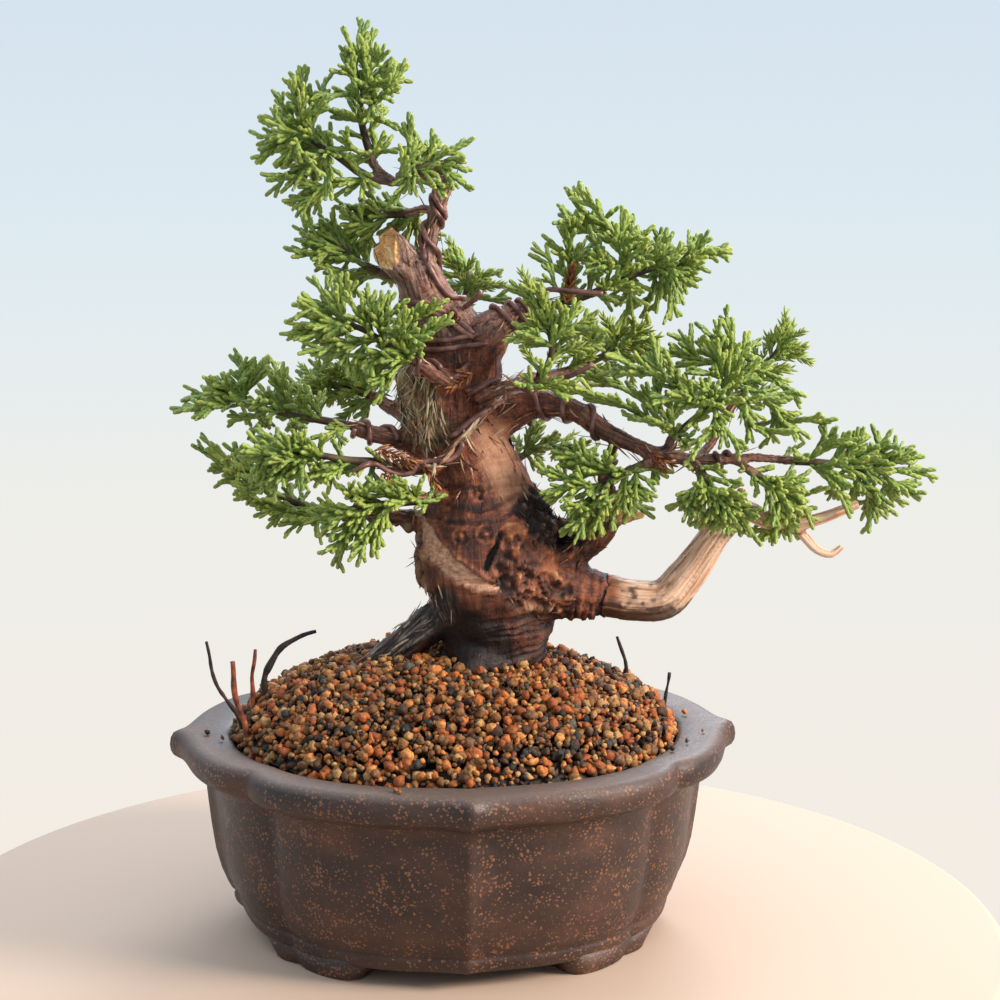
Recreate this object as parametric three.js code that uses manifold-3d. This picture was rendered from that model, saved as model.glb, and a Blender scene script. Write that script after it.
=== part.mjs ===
// Itoigawa juniper bonsai in an unglazed four-lobed stoneware pot.
// Millimetres, +Z up. +X is the right of the pot, -Y its front, and the pot stands on z = 0.
// One piece that grew is one mesh: the live wood, the big dead branch and each leafy spray.
import * as THREE from "three";
import { mergeVertices } from "three/addons/utils/BufferGeometryUtils.js";
import Module from "manifold-3d";

const wasm = await Module();
wasm.setup();

// Driving dimensions
const GAP = 0.3; // between pieces that touch
const BORED = GAP + 0.05; // how much wider a hole in the soil is than what stands in it
const POT = {
  height: 57,
  footHeight: 6,
  footHalf: 0.27, // radians to each side of the foot's middle
  footOuter: 55,
  footInner: 45,
  footWave: 1.5,
  halfWidth: 75, // rim on the X axis without its point
  halfDepth: 71, // rim on the Y axis without its point
  roundness: 2.15, // 2 is an oval, more is squarer
  notchAngle: 0.65, // radians from the X axis
  notchDepth: 0.055, // share of the radius
  notchWidth: 0.1, // radians
  pointHeight: 0.06, // share of the radius
  pointWidth: 0.07, // radians
  opening: 62, // half width of the mouth
  floor: 10, // top of the pot's bottom
};
const DRAIN = { radius: 6, offset: 22, plate: 20, thickness: 0.8, pitch: 8, mesh: 5.6 };
const SOIL = { rim: 54.5, rise: 24, sharpness: 0.62, grain: 5.5, relief: 1.3 };
const WIRE = { radius: 0.75, sides: 4, perTurn: 7, easing: 9, step: 0.15 };
const SHOOT = {
  neck: 0.3, // corner radii of a three-sided green shoot where it forks off,
  middle: 0.9, // and in its middle, where it is about 1.5 mm across
  forkPitch: 2, // between forks on the stem
  forkShares: [0.42, 0.55, 0.68], // of a shoot's length, where others fork off it
  shortest: 3,
  attempts: 14,
  strict: 9, // attempts that also stay clear of the spray's own shoots
};
const LEAD = 3; // straight end of a twig that a spray grows on from

const colours = {
  stoneware: 0x4f443f,
  soil: 0x9a6a3c,
  plasticMesh: 0x3a4038,
  bark: 0x7a4b38,
  deadwood: 0xe2b995,
  deadRoot: 0x4a2e26,
  wire: 0x7d4a40,
  foliage: 0x6f9a33,
};

const tree = new THREE.Group();

function material(colour, roughness, metalness = 0) {
  return new THREE.MeshStandardMaterial({ color: colour, roughness, metalness, flatShading: true });
}

// Solids

function toSolid(geometry) {
  geometry.deleteAttribute("normal");
  geometry.deleteAttribute("uv");
  const merged = mergeVertices(geometry, 1e-4);
  return new wasm.Manifold(
    new wasm.Mesh({
      numProp: 3,
      vertProperties: new Float32Array(merged.attributes.position.array),
      triVerts: new Uint32Array(merged.index.array),
    }),
  );
}

function toGeometry(solid) {
  const mesh = solid.getMesh();
  const geometry = new THREE.BufferGeometry();
  geometry.setAttribute("position", new THREE.BufferAttribute(mesh.vertProperties, 3));
  geometry.setIndex(new THREE.BufferAttribute(mesh.triVerts, 1));
  geometry.computeVertexNormals();
  return geometry;
}

function joined(solids) {
  return solids.reduce((whole, solid) => whole.add(solid));
}

function place(name, solid, look) {
  const mesh = new THREE.Mesh(toGeometry(solid), look);
  mesh.name = name;
  tree.add(mesh);
}

function seeded(seed) {
  let state = seed >>> 0;
  return () => {
    state = (state + 0x6d2b79f5) >>> 0;
    let t = Math.imul(state ^ (state >>> 15), 1 | state);
    t = (t + Math.imul(t ^ (t >>> 7), 61 | t)) ^ t;
    return ((t ^ (t >>> 14)) >>> 0) / 4294967296;
  };
}

// Paths: a station is [x, y, z, radius]

function pathOf(stations) {
  return new THREE.CatmullRomCurve3(stations.map(([x, y, z]) => new THREE.Vector3(x, y, z)));
}

function radiusAt(stations, u) {
  const place = u * (stations.length - 1);
  const i = Math.min(Math.floor(place), stations.length - 2);
  return THREE.MathUtils.lerp(stations[i][3], stations[i + 1][3], place - i);
}

function framesAlong(path, steps) {
  // carries one sideways vector along the path without twisting it
  const frames = [];
  const side = new THREE.Vector3();
  for (let i = 0; i <= steps; i++) {
    const centre = path.getPoint(i / steps);
    const tangent = path.getTangent(i / steps);
    if (i === 0) side.set(tangent.z + 0.01, 0.02, -tangent.x);
    side.addScaledVector(tangent, -side.dot(tangent)).normalize();
    const across = new THREE.Vector3().crossVectors(tangent, side);
    frames.push({ centre, tangent, side: side.clone(), across });
  }
  return frames;
}

function limb(stations, sides, steps, { grow = 0, ripple = 0, owner = "" } = {}) {
  // a straight cylinder bent along the stations, with their radii
  const frames = framesAlong(pathOf(stations), steps);
  if (owner) {
    const radii = frames.map((_, i) => radiusAt(stations, i / steps) * (1 + ripple));
    keepClear(owner, frames.map(({ centre }) => centre), radii);
  }
  const pointed = radiusAt(stations, 1) === 0;
  const tube = new THREE.CylinderGeometry(pointed ? 0 : 1, 1, 1, sides, steps);
  const position = tube.attributes.position;
  for (let i = 0; i < position.count; i++) {
    const step = Math.round((position.getY(i) + 0.5) * steps);
    const { centre, tangent, side, across } = frames[step];
    const onAxis = Math.hypot(position.getX(i), position.getZ(i)) < 1e-6;
    const angle = Math.atan2(position.getZ(i), position.getX(i));
    const wave = 1 + ripple * Math.sin(3 * angle + step);
    const radius = onAxis ? 0 : radiusAt(stations, step / steps) * wave + grow;
    const longer = step === 0 ? -grow : step === steps ? grow : 0;
    const point = centre
      .clone()
      .addScaledVector(tangent, longer)
      .addScaledVector(side, Math.cos(angle) * radius)
      .addScaledVector(across, -Math.sin(angle) * radius);
    position.setXYZ(i, point.x, point.y, point.z);
  }
  return toSolid(tube);
}

function knob([x, y, z], radius, squash = 1) {
  const ball = new THREE.OctahedronGeometry(radius, 1);
  ball.scale(1, 1, squash);
  ball.translate(x, y, z);
  return toSolid(ball);
}

// What is already in place, as round-ended rods, so that shoots bend clear of it

const rods = [];

function keepClear(name, points, radii) {
  for (let i = 0; i + 1 < points.length; i++) {
    rods.push({ name, a: points[i], b: points[i + 1], radii: [radii[i], radii[i + 1]] });
  }
}

function roomBetween(from, to, rod) {
  // the least distance from the line to the rod's skin
  const d1 = to.clone().sub(from);
  const d2 = rod.b.clone().sub(rod.a);
  const r = from.clone().sub(rod.a);
  const a = Math.max(d1.dot(d1), 1e-9);
  const e = Math.max(d2.dot(d2), 1e-9);
  const b = d1.dot(d2);
  const c = d1.dot(r);
  const f = d2.dot(r);
  const share = (value) => Math.min(1, Math.max(0, value));
  const flat = a * e - b * b;
  let s = flat > 1e-9 ? share((b * f - c * e) / flat) : 0;
  const t = share((b * s + f) / e);
  s = share((b * t - c) / a);
  const gap = from.clone().addScaledVector(d1, s).distanceTo(rod.a.clone().addScaledVector(d2, t));
  return gap - THREE.MathUtils.lerp(rod.radii[0], rod.radii[1], t);
}

function isClear(points, radius, chosen = () => true) {
  for (let i = 0; i + 1 < points.length; i++) {
    for (const rod of rods) {
      if (chosen(rod) && roomBetween(points[i], points[i + 1], rod) < radius + GAP) return false;
    }
  }
  return true;
}

// Pot: a lathe profile whose rings are bent to the four-lobed plan

function lobed(angle, sharp) {
  // radius of the plan as a share of the rim's half width
  const c = Math.abs(Math.cos(angle));
  const s = Math.abs(Math.sin(angle)) * (POT.halfWidth / POT.halfDepth);
  const oval = (c ** POT.roundness + s ** POT.roundness) ** (-1 / POT.roundness);
  const quarter = Math.atan2(Math.abs(Math.sin(angle)), Math.abs(Math.cos(angle)));
  const toPoint = Math.min(quarter, Math.PI / 2 - quarter);
  const toNotch = Math.abs(quarter - POT.notchAngle);
  const point = POT.pointHeight * Math.exp(-toPoint / POT.pointWidth);
  const notch = POT.notchDepth * Math.exp(-toNotch / POT.notchWidth);
  return oval * (1 + sharp * (point - notch));
}

function planAngles(perArc) {
  // angles with a step on each point and notch, closer together near them
  const corners = [0, POT.notchAngle, Math.PI / 2, Math.PI - POT.notchAngle];
  corners.push(...corners.map((corner) => corner + Math.PI), 2 * Math.PI);
  const angles = [];
  for (let i = 0; i + 1 < corners.length; i++) {
    for (let k = 0; k < perArc; k++) {
      const eased = 0.5 - 0.5 * Math.cos((Math.PI * k) / perArc);
      angles.push(THREE.MathUtils.lerp(corners[i], corners[i + 1], eased));
    }
  }
  return angles;
}

function lobedLathe(profile, perArc) {
  // profile rows are [half width, height, how sharp the points and notches are]
  const angles = planAngles(perArc);
  const outline = profile.map(([radius, height]) => new THREE.Vector2(radius, height));
  const shape = new THREE.LatheGeometry(outline, angles.length);
  const position = shape.attributes.position;
  for (let i = 0; i < position.count; i++) {
    const [radius, height, sharp] = profile[i % profile.length];
    const angle = angles[Math.floor(i / profile.length) % angles.length];
    const reach = radius * lobed(angle, sharp);
    position.setXYZ(i, reach * Math.cos(angle), reach * Math.sin(angle), height);
  }
  return toSolid(shape);
}

function foot(middle) {
  // a bracket foot under one notch, its outer edge in three small waves
  const { footHalf, footOuter, footInner, footWave, footHeight } = POT;
  const outer = [];
  const inner = [];
  for (let k = 0; k <= 6; k++) {
    const turn = (k / 6 - 0.5) * 2;
    const angle = middle + footHalf * turn;
    const wave = footOuter + footWave * Math.cos(3 * Math.PI * turn);
    outer.push(new THREE.Vector2(wave * Math.cos(angle), wave * Math.sin(angle)));
    inner.push(new THREE.Vector2(footInner * Math.cos(angle), footInner * Math.sin(angle)));
  }
  const shape = new THREE.Shape([...outer, ...inner.filter((_, k) => k % 3 === 0).reverse()]);
  return toSolid(new THREE.ExtrudeGeometry(shape, { depth: footHeight, bevelEnabled: false }));
}

function drainHole(x) {
  const bore = new THREE.CylinderGeometry(DRAIN.radius, DRAIN.radius, 30, 12);
  bore.rotateX(Math.PI / 2);
  bore.translate(x, 0, 5);
  return toSolid(bore);
}

function makePot() {
  const profile = [
    [0, 4, 0],
    [55, 4, 0.5],
    [60, 6.5, 0.7],
    [63, 14, 0.8],
    [66, 38, 0.9],
    [67.5, 45.5, 0.9],
    [73.5, 49, 1],
    [75, 52.5, 1],
    [73.5, POT.height, 1],
    [POT.opening, POT.height, 0.25],
    [56, POT.floor + 6, 0.1],
    [48, POT.floor, 0],
    [0, POT.floor, 0],
  ];
  const feet = [1, 3, 5, 7].map((eighth) => foot((eighth * Math.PI) / 4));
  const body = joined([lobedLathe(profile, 6), ...feet]);
  const drilled = [-1, 1].reduce((pot, side) => pot.subtract(drainHole(side * DRAIN.offset)), body);
  place("pot", drilled, material(colours.stoneware, 0.75));
}

function drainPlate(x) {
  // a square of coarse plastic net over one drain hole
  const slab = (width, height, dx, dy) => {
    const box = new THREE.BoxGeometry(width, width, height);
    box.translate(x + dx, dy, POT.floor + GAP + DRAIN.thickness / 2);
    return toSolid(box);
  };
  let net = slab(DRAIN.plate, DRAIN.thickness, 0, 0);
  for (const dx of [-0.5, 0.5]) {
    for (const dy of [-0.5, 0.5]) {
      net = net.subtract(slab(DRAIN.mesh, 3, dx * DRAIN.pitch, dy * DRAIN.pitch));
    }
  }
  return net;
}

// Soil: a mound of grains, drawn as coarse relief

function moundHeight(x, y) {
  const angle = Math.atan2(y, x);
  const edge = (POT.opening - 1) * lobed(angle, 0.2);
  const reach = Math.min(1, Math.hypot(x, y) / edge);
  return SOIL.rim + SOIL.rise * (1 - reach * reach) ** SOIL.sharpness - 0.03 * x * (1 - reach);
}

function makeSoil(buried) {
  const random = seeded(11);
  const width = 2 * POT.opening + 8;
  const count = Math.round(width / SOIL.grain);
  const bed = new THREE.BoxGeometry(width, width, 1, count, Math.round(count * 1.12), 1);
  const position = bed.attributes.position;
  const relief = new Map();
  for (let i = 0; i < position.count; i++) {
    const [x, y] = [position.getX(i), position.getY(i)];
    const key = `${x.toFixed(3)} ${y.toFixed(3)}`;
    if (!relief.has(key)) relief.set(key, [random() - 0.5, random() - 0.5, random() * 2 - 1]);
    const [dx, dy, dz] = relief.get(key);
    const row = Math.round(y / (width / Math.round(count * 1.12)));
    const shift = (Math.abs(row) % 2) * 0.5 + dx * 0.45;
    const [px, py] = [x + shift * SOIL.grain, y + dy * 0.4 * SOIL.grain];
    const top = position.getZ(i) > 0;
    position.setXYZ(i, px, py, top ? moundHeight(px, py) + dz * SOIL.relief : 0);
  }
  const inside = lobedLathe(
    [
      [0, POT.floor + GAP, 0],
      [48 - GAP, POT.floor + GAP, 0],
      [56 - GAP, POT.floor + 6 + GAP, 0.1],
      [POT.opening - 2 * GAP, POT.height, 0.25],
      [POT.opening - 2 * GAP, 90, 0.25],
      [0, 90, 0],
    ],
    3,
  );
  const heap = toSolid(bed).intersect(inside);
  place("soil", buried.reduce((soil, solid) => soil.subtract(solid), heap), material(colours.soil, 0.95));
}

// Live wood: one grown piece of trunk, roots, branches and twigs

const trunk = [
  [9, 1, 38, 10],
  [9.5, 1, 56, 15],
  [10.5, 1, 72, 17.5],
  [10.5, 0.5, 84, 16.5],
  [10, -1, 95, 18],
  [9.2, -3, 104, 19.6],
  [8.6, -3, 112, 19],
  [7.8, -1.5, 119, 16.8],
  [6.5, 0, 127, 13.6],
  [2.5, 1, 135, 12],
  [-2, 2, 143, 12.6],
  [-2.3, 2, 152, 13.2],
  [-1.5, 2, 161, 12.6],
  [-3.5, 1, 168.5, 10],
  [-7, 0, 176, 7.4],
  [-9.5, -1, 183, 6.2],
  [-11, -1, 187.5, 4.6],
];
const apexBranch = [
  [-9.8, -1, 182, 3.6],
  [-7.2, -1, 189, 2.7],
  [-5.6, -2, 197, 2.2],
  [-3.5, -3, 204, 2.1],
  [-1.6, -3.6, 209.2, 2],
  [-4, -4.4, 211.6, 1.9],
  [-8, -4.8, 209.6, 1.8],
];
const shoulder = [
  [3, 0, 158, 8.5],
  [8, -2.5, 164.5, 6.6],
  [11.5, -3.5, 169, 5.6],
  [16.5, -3, 172, 3.6],
  [22, -2.5, 173.8, 2.4],
  [26, -2.8, 174.8, 2.1],
];
const rightBranch = [
  [4, 0, 139, 7.5],
  [12, -1.5, 143.5, 6],
  [20, -4, 147.6, 4.4],
  [27, -6, 148, 3.5],
  [33, -8, 146.2, 3],
  [41, -10, 141, 2.7],
  [47, -11, 138, 2.4],
  [53, -12, 135.5, 2.1],
];
const lowRight = [
  [24, -3, 106, 9],
  [34, -5, 110.5, 7],
  [40, -7, 115, 5],
  [42, -8, 121, 3],
  [40.5, -8, 129, 1.9],
  [43.4, -9, 138, 1.4],
];
const collar = [
  [18, -3, 99, 14],
  [30, -5, 96.5, 9.6],
  [37, -6, 95.2, 7.4],
  [41.5, -6.3, 94.8, 6.6],
];
const leftBranch = [
  [-4, 0, 134, 5],
  [-14, -1, 137.6, 3.1],
  [-22, -3, 140, 2.5],
  [-26.5, -3.6, 141.6, 2.2],
];
const frontLeftBranch = [
  [0, -5, 152, 4],
  [-3, -13.5, 156, 2.6],
  [-9, -17, 160, 2],
];
const otherLimbs = [
  // cut stub with a loop of wire
  [
    [31, -6, 109, 4],
    [34, -7.5, 116, 2.6],
    [34.6, -8, 121.4, 2.2],
  ],
  // chisel-cut stub beside the apex
  [
    [-11, -1, 184.5, 5],
    [-15, -1.2, 190, 3.9],
    [-18.8, -1.4, 195, 2.3],
  ],
  // short jin on the low right branch
  [
    [39, -7, 115.5, 3.4],
    [46, -8, 117.2, 2.4],
    [52, -9, 117.6, 1],
  ],
  // buttress root on the left
  [
    [2, -2, 97, 7],
    [-6, -3, 91, 6.2],
    [-14, -3, 83, 5.2],
    [-21, -2, 75, 4.4],
    [-28, -1, 66, 3.4],
    [-35, 0, 55, 2],
  ],
  // low roots at the right, the front and the back
  [
    [20, 2, 80, 8],
    [27, 6, 72, 6],
    [34, 12, 60, 3],
  ],
  [
    [8, -6, 78, 9],
    [4, -16, 70, 6],
    [-2, -26, 58, 3],
  ],
  [
    [8, 8, 80, 9],
    [10, 20, 70, 6],
    [14, 30, 56, 3],
  ],
];
const knobs = [
  [[-10.5, -3.2, 183.5], 5.4, 1],
  [[24, -17, 98], 7, 0.85],
  [[30, -11, 93], 6.2, 0.9],
  [[16, -19.5, 101], 5, 1],
  [[27, -9, 105], 7, 1],
];

function leadTo(stations, core) {
  // ends a branch square to the spray that grows on from it
  const [a, b] = [core[0], core[1]].map((point) => new THREE.Vector3(...point));
  const back = a.clone().sub(b).normalize();
  const end = (distance, radius) => [...a.clone().addScaledVector(back, distance).toArray(), radius];
  return [...stations, end(LEAD + GAP, 1.5), end(GAP + 0.05, 1.35)];
}

// Sprays: the twig that carries each, its slim core, and the tips that its shoots reach out to

const sprays = [
  {
    name: "spray_apex_left",
    twig: [[-8, -4.8, 209.6, 1.8], [-15, -5, 208.2, 1.6], [-21, -5, 209, 1.4]],
    core: [[-27, -5, 212], [-32, -5, 215.5], [-38, -5, 219]],
    tips: [
      [-41, -2, 239], [-44, -10, 235], [-48, 6, 230], [-48, -14, 227], [-51, -2, 225], [-53, 8, 220],
      [-53, -6, 213], [-50, -14, 209], [-48, -3, 204], [-45, 7, 202], [-41, -9, 199], [-40, 2, 199],
      [-34, -16, 205], [-34, 5, 236], [-41, -20, 217], [-41, 14, 223], [-33, -14, 228], [-37, 10, 208],
    ],
  },
  {
    name: "spray_apex_top",
    twig: [[-17, -5, 208.5, 1.5], [-20, -3.5, 211, 1.3]],
    core: [[-22.5, -2, 216], [-24, -2, 221], [-25, -3, 227], [-24, -4, 233]],
    tips: [
      [-24, -4, 251], [-29, -9, 248], [-22, 1, 247], [-12, -9, 239], [-13, -1, 236], [-21, 5, 240],
      [-30, -12, 237], [-18, -14, 230], [-23, -18, 224], [-29, 9, 231], [-18, 8, 225],
    ],
  },
  {
    name: "spray_apex_right",
    twig: [[-13, -5, 208.4, 1.5], [-14, -7.5, 209, 1.2]],
    core: [[-12, -10.5, 211], [-8, -11, 212.5], [-3, -10.5, 213.5]],
    tips: [
      [-14, -12, 224], [-11, -5, 221], [4, -9, 219], [2, -12, 214], [4, -15, 206], [-3, -17, 207],
      [-12, -15, 205], [-17, -12, 203], [-6, -3, 218],
    ],
  },
  {
    name: "spray_under_apex",
    twig: [[-4.6, -2.4, 200.5, 1.5], [-9, 1, 200.8, 1.3]],
    core: [[-14, 3.5, 199.5], [-19, 5, 199], [-24, 6, 199]],
    tips: [
      [-31, 6, 202], [-31, 0, 199], [-25, 9, 203], [-22, -2, 203], [-15, 10, 203], [-22, 8, 190],
      [-9, 9, 190], [-27, 10, 187], [-3, 11, 192],
    ],
  },
  {
    name: "spray_left_high",
    twig: [[-8, 1, 187, 2.4], [-14, 4.5, 184.5, 1.7]],
    core: [[-21, 6.5, 184], [-25, 6.8, 186], [-29, 7, 189], [-33, 7, 193]],
    tips: [
      [-33, 7, 200], [-41, 11, 198], [-40, 3, 194], [-46, 9, 190], [-44, 1, 188], [-37, 0, 186],
      [-24, 14, 192], [-27, 13, 176], [-34, 15, 184],
    ],
  },
  {
    name: "spray_front_left",
    twig: frontLeftBranch,
    core: [[-14, -18, 163], [-19, -19, 166], [-25, -19, 170], [-32, -18, 172]],
    tips: [
      [-38, -14, 184], [-41, -21, 180], [-41, -11, 176], [-43, -23, 173], [-45, -14, 168],
      [-41, -24, 165], [-37, -13, 162], [-32, -10, 184], [-28, -21, 183], [-20, -26, 180],
      [-18, -16, 178], [-13, -28, 176], [-10, -21, 177], [-4, -19, 176], [-2, -26, 173],
      [-8, -31, 169], [-29, -24, 158], [-28, -12, 156], [-24, -22, 154], [-20, -30, 155],
      [-21, -18, 150], [-30, -32, 171], [-36, -6, 174],
    ],
  },
  {
    name: "spray_left",
    twig: leftBranch,
    core: [[-31, -4, 143], [-38, -5, 144.5], [-46, -5, 146], [-54, -4, 148], [-61, -3, 149]],
    tips: [
      [-76, -4, 147], [-72, 3, 152], [-66, -10, 157], [-69, -13, 146], [-65, 8, 153], [-59, 0, 162],
      [-56, -9, 162], [-50, 4, 160], [-46, -12, 159], [-44, 9, 153], [-59, 16, 149], [-52, -18, 151],
      [-39, -12, 152], [-35, 6, 149], [-56, 10, 139], [-45, 13, 139],
    ],
  },
  {
    name: "spray_left_front",
    twig: [[-4, -6, 131, 3], [-11, -11, 131.5, 2.2], [-18, -13, 132, 1.8]],
    core: [[-24, -14, 134], [-30, -17, 135], [-38, -20, 137], [-46, -21, 138]],
    tips: [
      [-58, -20, 136], [-57, -28, 141], [-54, -19, 144], [-47, -30, 135], [-46, -20, 129],
      [-56, -15, 129], [-52, -11, 139], [-42, -28, 144], [-36, -22, 143], [-50, -24, 127],
      [-41, -30, 129], [-32, -25, 131], [-34, -10, 130],
    ],
  },
  {
    name: "spray_left_low",
    twig: [[-5, 0, 115.5, 3.4], [-15, -1.5, 116.5, 2.4], [-24, -1.5, 117.5, 2]],
    core: [[-30, -1, 118], [-40, 2, 119], [-48, 4, 122], [-56, 5, 128]],
    tips: [
      [-71, 7, 136], [-67, -1, 138], [-67, 9, 128], [-65, 0, 126], [-58, 8, 121], [-54, -2, 117],
      [-50, 5, 113], [-61, 13, 136], [-61, -8, 132], [-46, 16, 119], [-40, 12, 122], [-38, -6, 112],
    ],
  },
  {
    name: "spray_front_low",
    twig: [[-2, -8, 124, 2.6], [-8, -15.5, 124, 1.8]],
    core: [[-12, -19.5, 124], [-18, -23, 124], [-24, -25, 124], [-30, -26, 123]],
    tips: [
      [-39, -26, 121], [-37, -21, 115], [-34, -29, 112], [-34, -22, 107], [-26, -32, 111],
      [-25, -22, 108], [-20, -27, 113], [-35, -32, 127], [-28, -36, 130], [-16, -30, 132],
      [-22, -22, 130], [-10, -24, 131],
    ],
  },
  {
    name: "spray_right_high",
    twig: shoulder,
    core: [[30, -3, 175.6], [36, -4, 177.5], [44, -4, 181], [52, -3, 184], [60, -2, 186]],
    tips: [
      [30, -6, 206], [33, 2, 207], [34, -12, 206], [31, 8, 201], [27, -16, 198], [25, -6, 193],
      [22, 4, 188], [39, -2, 202], [47, 8, 199], [46, -10, 201], [53, 14, 193], [49, -16, 194],
      [58, 6, 193], [59, -6, 194], [66, 4, 193], [70, -6, 193], [76, -2, 190], [71, 6, 188],
      [65, -12, 187], [68, 4, 184], [64, -8, 180], [65, 6, 177], [60, -14, 176], [58, -6, 171],
      [54, 8, 170], [46, -4, 169], [23, -14, 184], [37, -22, 186], [35, 16, 187], [45, 16, 175],
    ],
  },
  {
    name: "spray_front_centre",
    twig: [[6, -8, 151, 3], [12, -13.5, 153.5, 2], [17, -16.8, 154.6, 1.6]],
    core: [[21.5, -18.5, 156], [24, -19, 160], [25, -20, 165], [24, -20, 170]],
    tips: [
      [17, -19, 185], [14, -16, 180], [19, -24, 183], [24, -20, 180], [28, -16, 174],
      [36, -20, 174], [37, -26, 170], [39, -18, 167], [17, -27, 169], [13, -22, 167],
      [8, -27, 163], [19, -28, 155], [29, -24, 151], [35, -13, 162],
    ],
  },
  {
    name: "spray_right",
    twig: [[55, -11.8, 134.8, 1.8], [58, -12.4, 137, 1.6]],
    core: [[60.5, -13, 141], [65, -13, 145], [70, -12, 149], [74, -10, 154]],
    tips: [
      [40, -16, 163], [53, -14, 167], [59, -6, 167], [70, -12, 170], [73, -4, 171], [77, 2, 171],
      [79, -8, 168], [82, 4, 165], [84, -2, 160], [46, -22, 146], [51, -26, 151], [61, -28, 157],
      [67, -32, 151], [76, -26, 151], [86, -18, 152], [95, -8, 148], [103, -10, 143], [90, -18, 141],
      [92, -2, 140], [61, -32, 136], [74, -30, 137], [70, 8, 158], [64, 8, 147], [50, -4, 150],
    ],
  },
  {
    name: "spray_right_under",
    twig: [[62, -11.3, 133.2, 1.7], [64.5, -14.5, 131.6, 1.4]],
    core: [[66, -18.5, 130.5], [68, -21, 127.5], [70, -22, 123.5]],
    tips: [
      [56, -18, 121], [60, -24, 118], [64, -16, 116], [71, -27, 119], [75, -17, 113], [81, -22, 112],
      [74, -31, 127], [64, -29, 127], [80, -26, 121],
    ],
  },
  {
    name: "spray_right_mid",
    twig: [[76, -10.6, 133.2, 1.5], [79, -12.5, 131, 1.3]],
    core: [[82, -14.5, 129], [86, -14.5, 126.5], [90, -13, 124]],
    tips: [
      [94, -16, 129], [97, -6, 123], [94, -19, 122], [98, -13, 116], [95, -8, 110], [87, -20, 116],
      [86, -12, 111], [84, -6, 110], [84, -26, 130], [91, 0, 119],
    ],
  },
  {
    name: "spray_right_tip",
    twig: [[82, -10, 133.4, 1.4], [89, -9, 132.6, 1.3]],
    core: [[94.5, -8, 132], [105, -8, 131], [114, -7, 129], [123, -6, 129]],
    tips: [
      [100, -8, 142], [104, -14, 140], [111, 0, 138], [113, -10, 140], [119, 2, 139], [119, -12, 138],
      [126, -4, 135], [130, -8, 133], [134, -3, 126], [128, -10, 123], [124, 2, 117], [119, -12, 117],
      [114, -8, 112], [117, 2, 115], [103, -16, 125], [104, 0, 122], [119, 10, 132],
    ],
  },
  {
    name: "spray_right_low",
    twig: [[49, -11.6, 137, 1.7], [50.5, -13.5, 135.5, 1.4]],
    core: [[49.5, -16.5, 132.5], [45, -18, 131], [40, -18.5, 129], [37, -19, 127]],
    tips: [
      [21, -20, 132], [29, -15, 135], [31, -21, 140], [39, -25, 138], [23, -23, 126], [27, -21, 115],
      [33, -26, 114], [36, -15, 112], [28, -29, 123], [37, -22, 116], [40, -28, 123], [47, -20, 119],
      [52, -15, 119], [51, -23, 125],
    ],
  },
  {
    name: "spray_right_shoot",
    twig: [[66, -10.5, 133.2, 1.6], [71, -4, 137, 1.4], [76, 1.5, 143.5, 1.3]],
    core: [[80.5, 4.5, 149], [84, 5, 153], [87.5, 4, 157.5], [90.5, 3, 162]],
    tips: [
      [92, 2, 170], [96, -1, 167], [95, 7, 168], [100, 4, 158], [85, 10, 162], [94, 9, 152],
      [92, 12, 142], [79, 11, 157],
    ],
  },
  {
    name: "spray_back_right",
    twig: [[4, 8, 145, 4], [14, 17, 149, 2.8], [24, 24, 151.5, 2.2], [34, 28, 153.5, 1.7]],
    core: [[40, 29, 155.5], [46, 28, 158.5], [52, 26, 161.5]],
    tips: [
      [44, 24, 169], [51, 30, 169], [52, 20, 170], [57, 28, 167], [60, 22, 164], [35, 26, 163],
      [62, 33, 157], [34, 36, 165], [58, 38, 163], [48, 42, 166], [66, 25, 152], [54, 34, 149],
      [40, 42, 153], [38, 20, 160],
    ],
  },
  {
    name: "spray_back_high",
    twig: [[-1, 5, 168, 4], [2, 13, 171.5, 2.4]],
    core: [[4, 18, 175], [5, 22, 179], [5, 26, 183]],
    tips: [
      [-2, 16, 188], [6, 17, 186], [15, 26, 182], [14, 17, 179], [16, 23, 174], [-6, 24, 182],
      [4, 35, 185], [12, 34, 178], [-4, 32, 176], [0, 27, 191], [-9, 18, 178],
    ],
  },
  {
    name: "spray_back",
    twig: [[-2, 8, 154, 4], [-3, 18, 157, 2.6], [-4, 24, 159, 2]],
    core: [[-5, 30, 161.5], [-6, 35, 164], [-7, 40, 166]],
    tips: [
      [-8, 48, 171], [3, 46, 169], [-18, 44, 168], [-5, 53, 162], [8, 40, 164], [-12, 37, 176],
      [1, 35, 175], [-19, 37, 160], [5, 49, 158], [-11, 48, 157],
    ],
  },
  {
    name: "spray_back_low",
    twig: [[8, 6, 123, 4], [14, 15, 126, 2.4]],
    core: [[18, 20, 128.5], [23, 25, 130.5], [29, 28, 132]],
    tips: [
      [24, 20, 139], [27, 31, 124], [28, 18, 133], [25, 33, 140], [43, 29, 131], [39, 22, 133],
      [37, 37, 134], [31, 38, 127], [18, 33, 134], [42, 26, 124], [33, 22, 124],
    ],
  },
  {
    name: "spray_back_left",
    twig: [[-8, 8, 141, 4], [-14, 15, 143.5, 2.6], [-19, 21, 145.5, 2]],
    core: [[-23, 25, 147.5], [-28, 28, 148.5], [-34, 31, 149.5]],
    tips: [
      [-39, 20, 152], [-36, 26, 157], [-34, 18, 156], [-31, 31, 158], [-26, 21, 155], [-23, 33, 155],
      [-30, 35, 141], [-26, 25, 138], [-46, 30, 150], [-42, 38, 154], [-36, 42, 149], [-49, 36, 146],
      [-25, 39, 146], [-44, 25, 143],
    ],
  },
];
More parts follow.
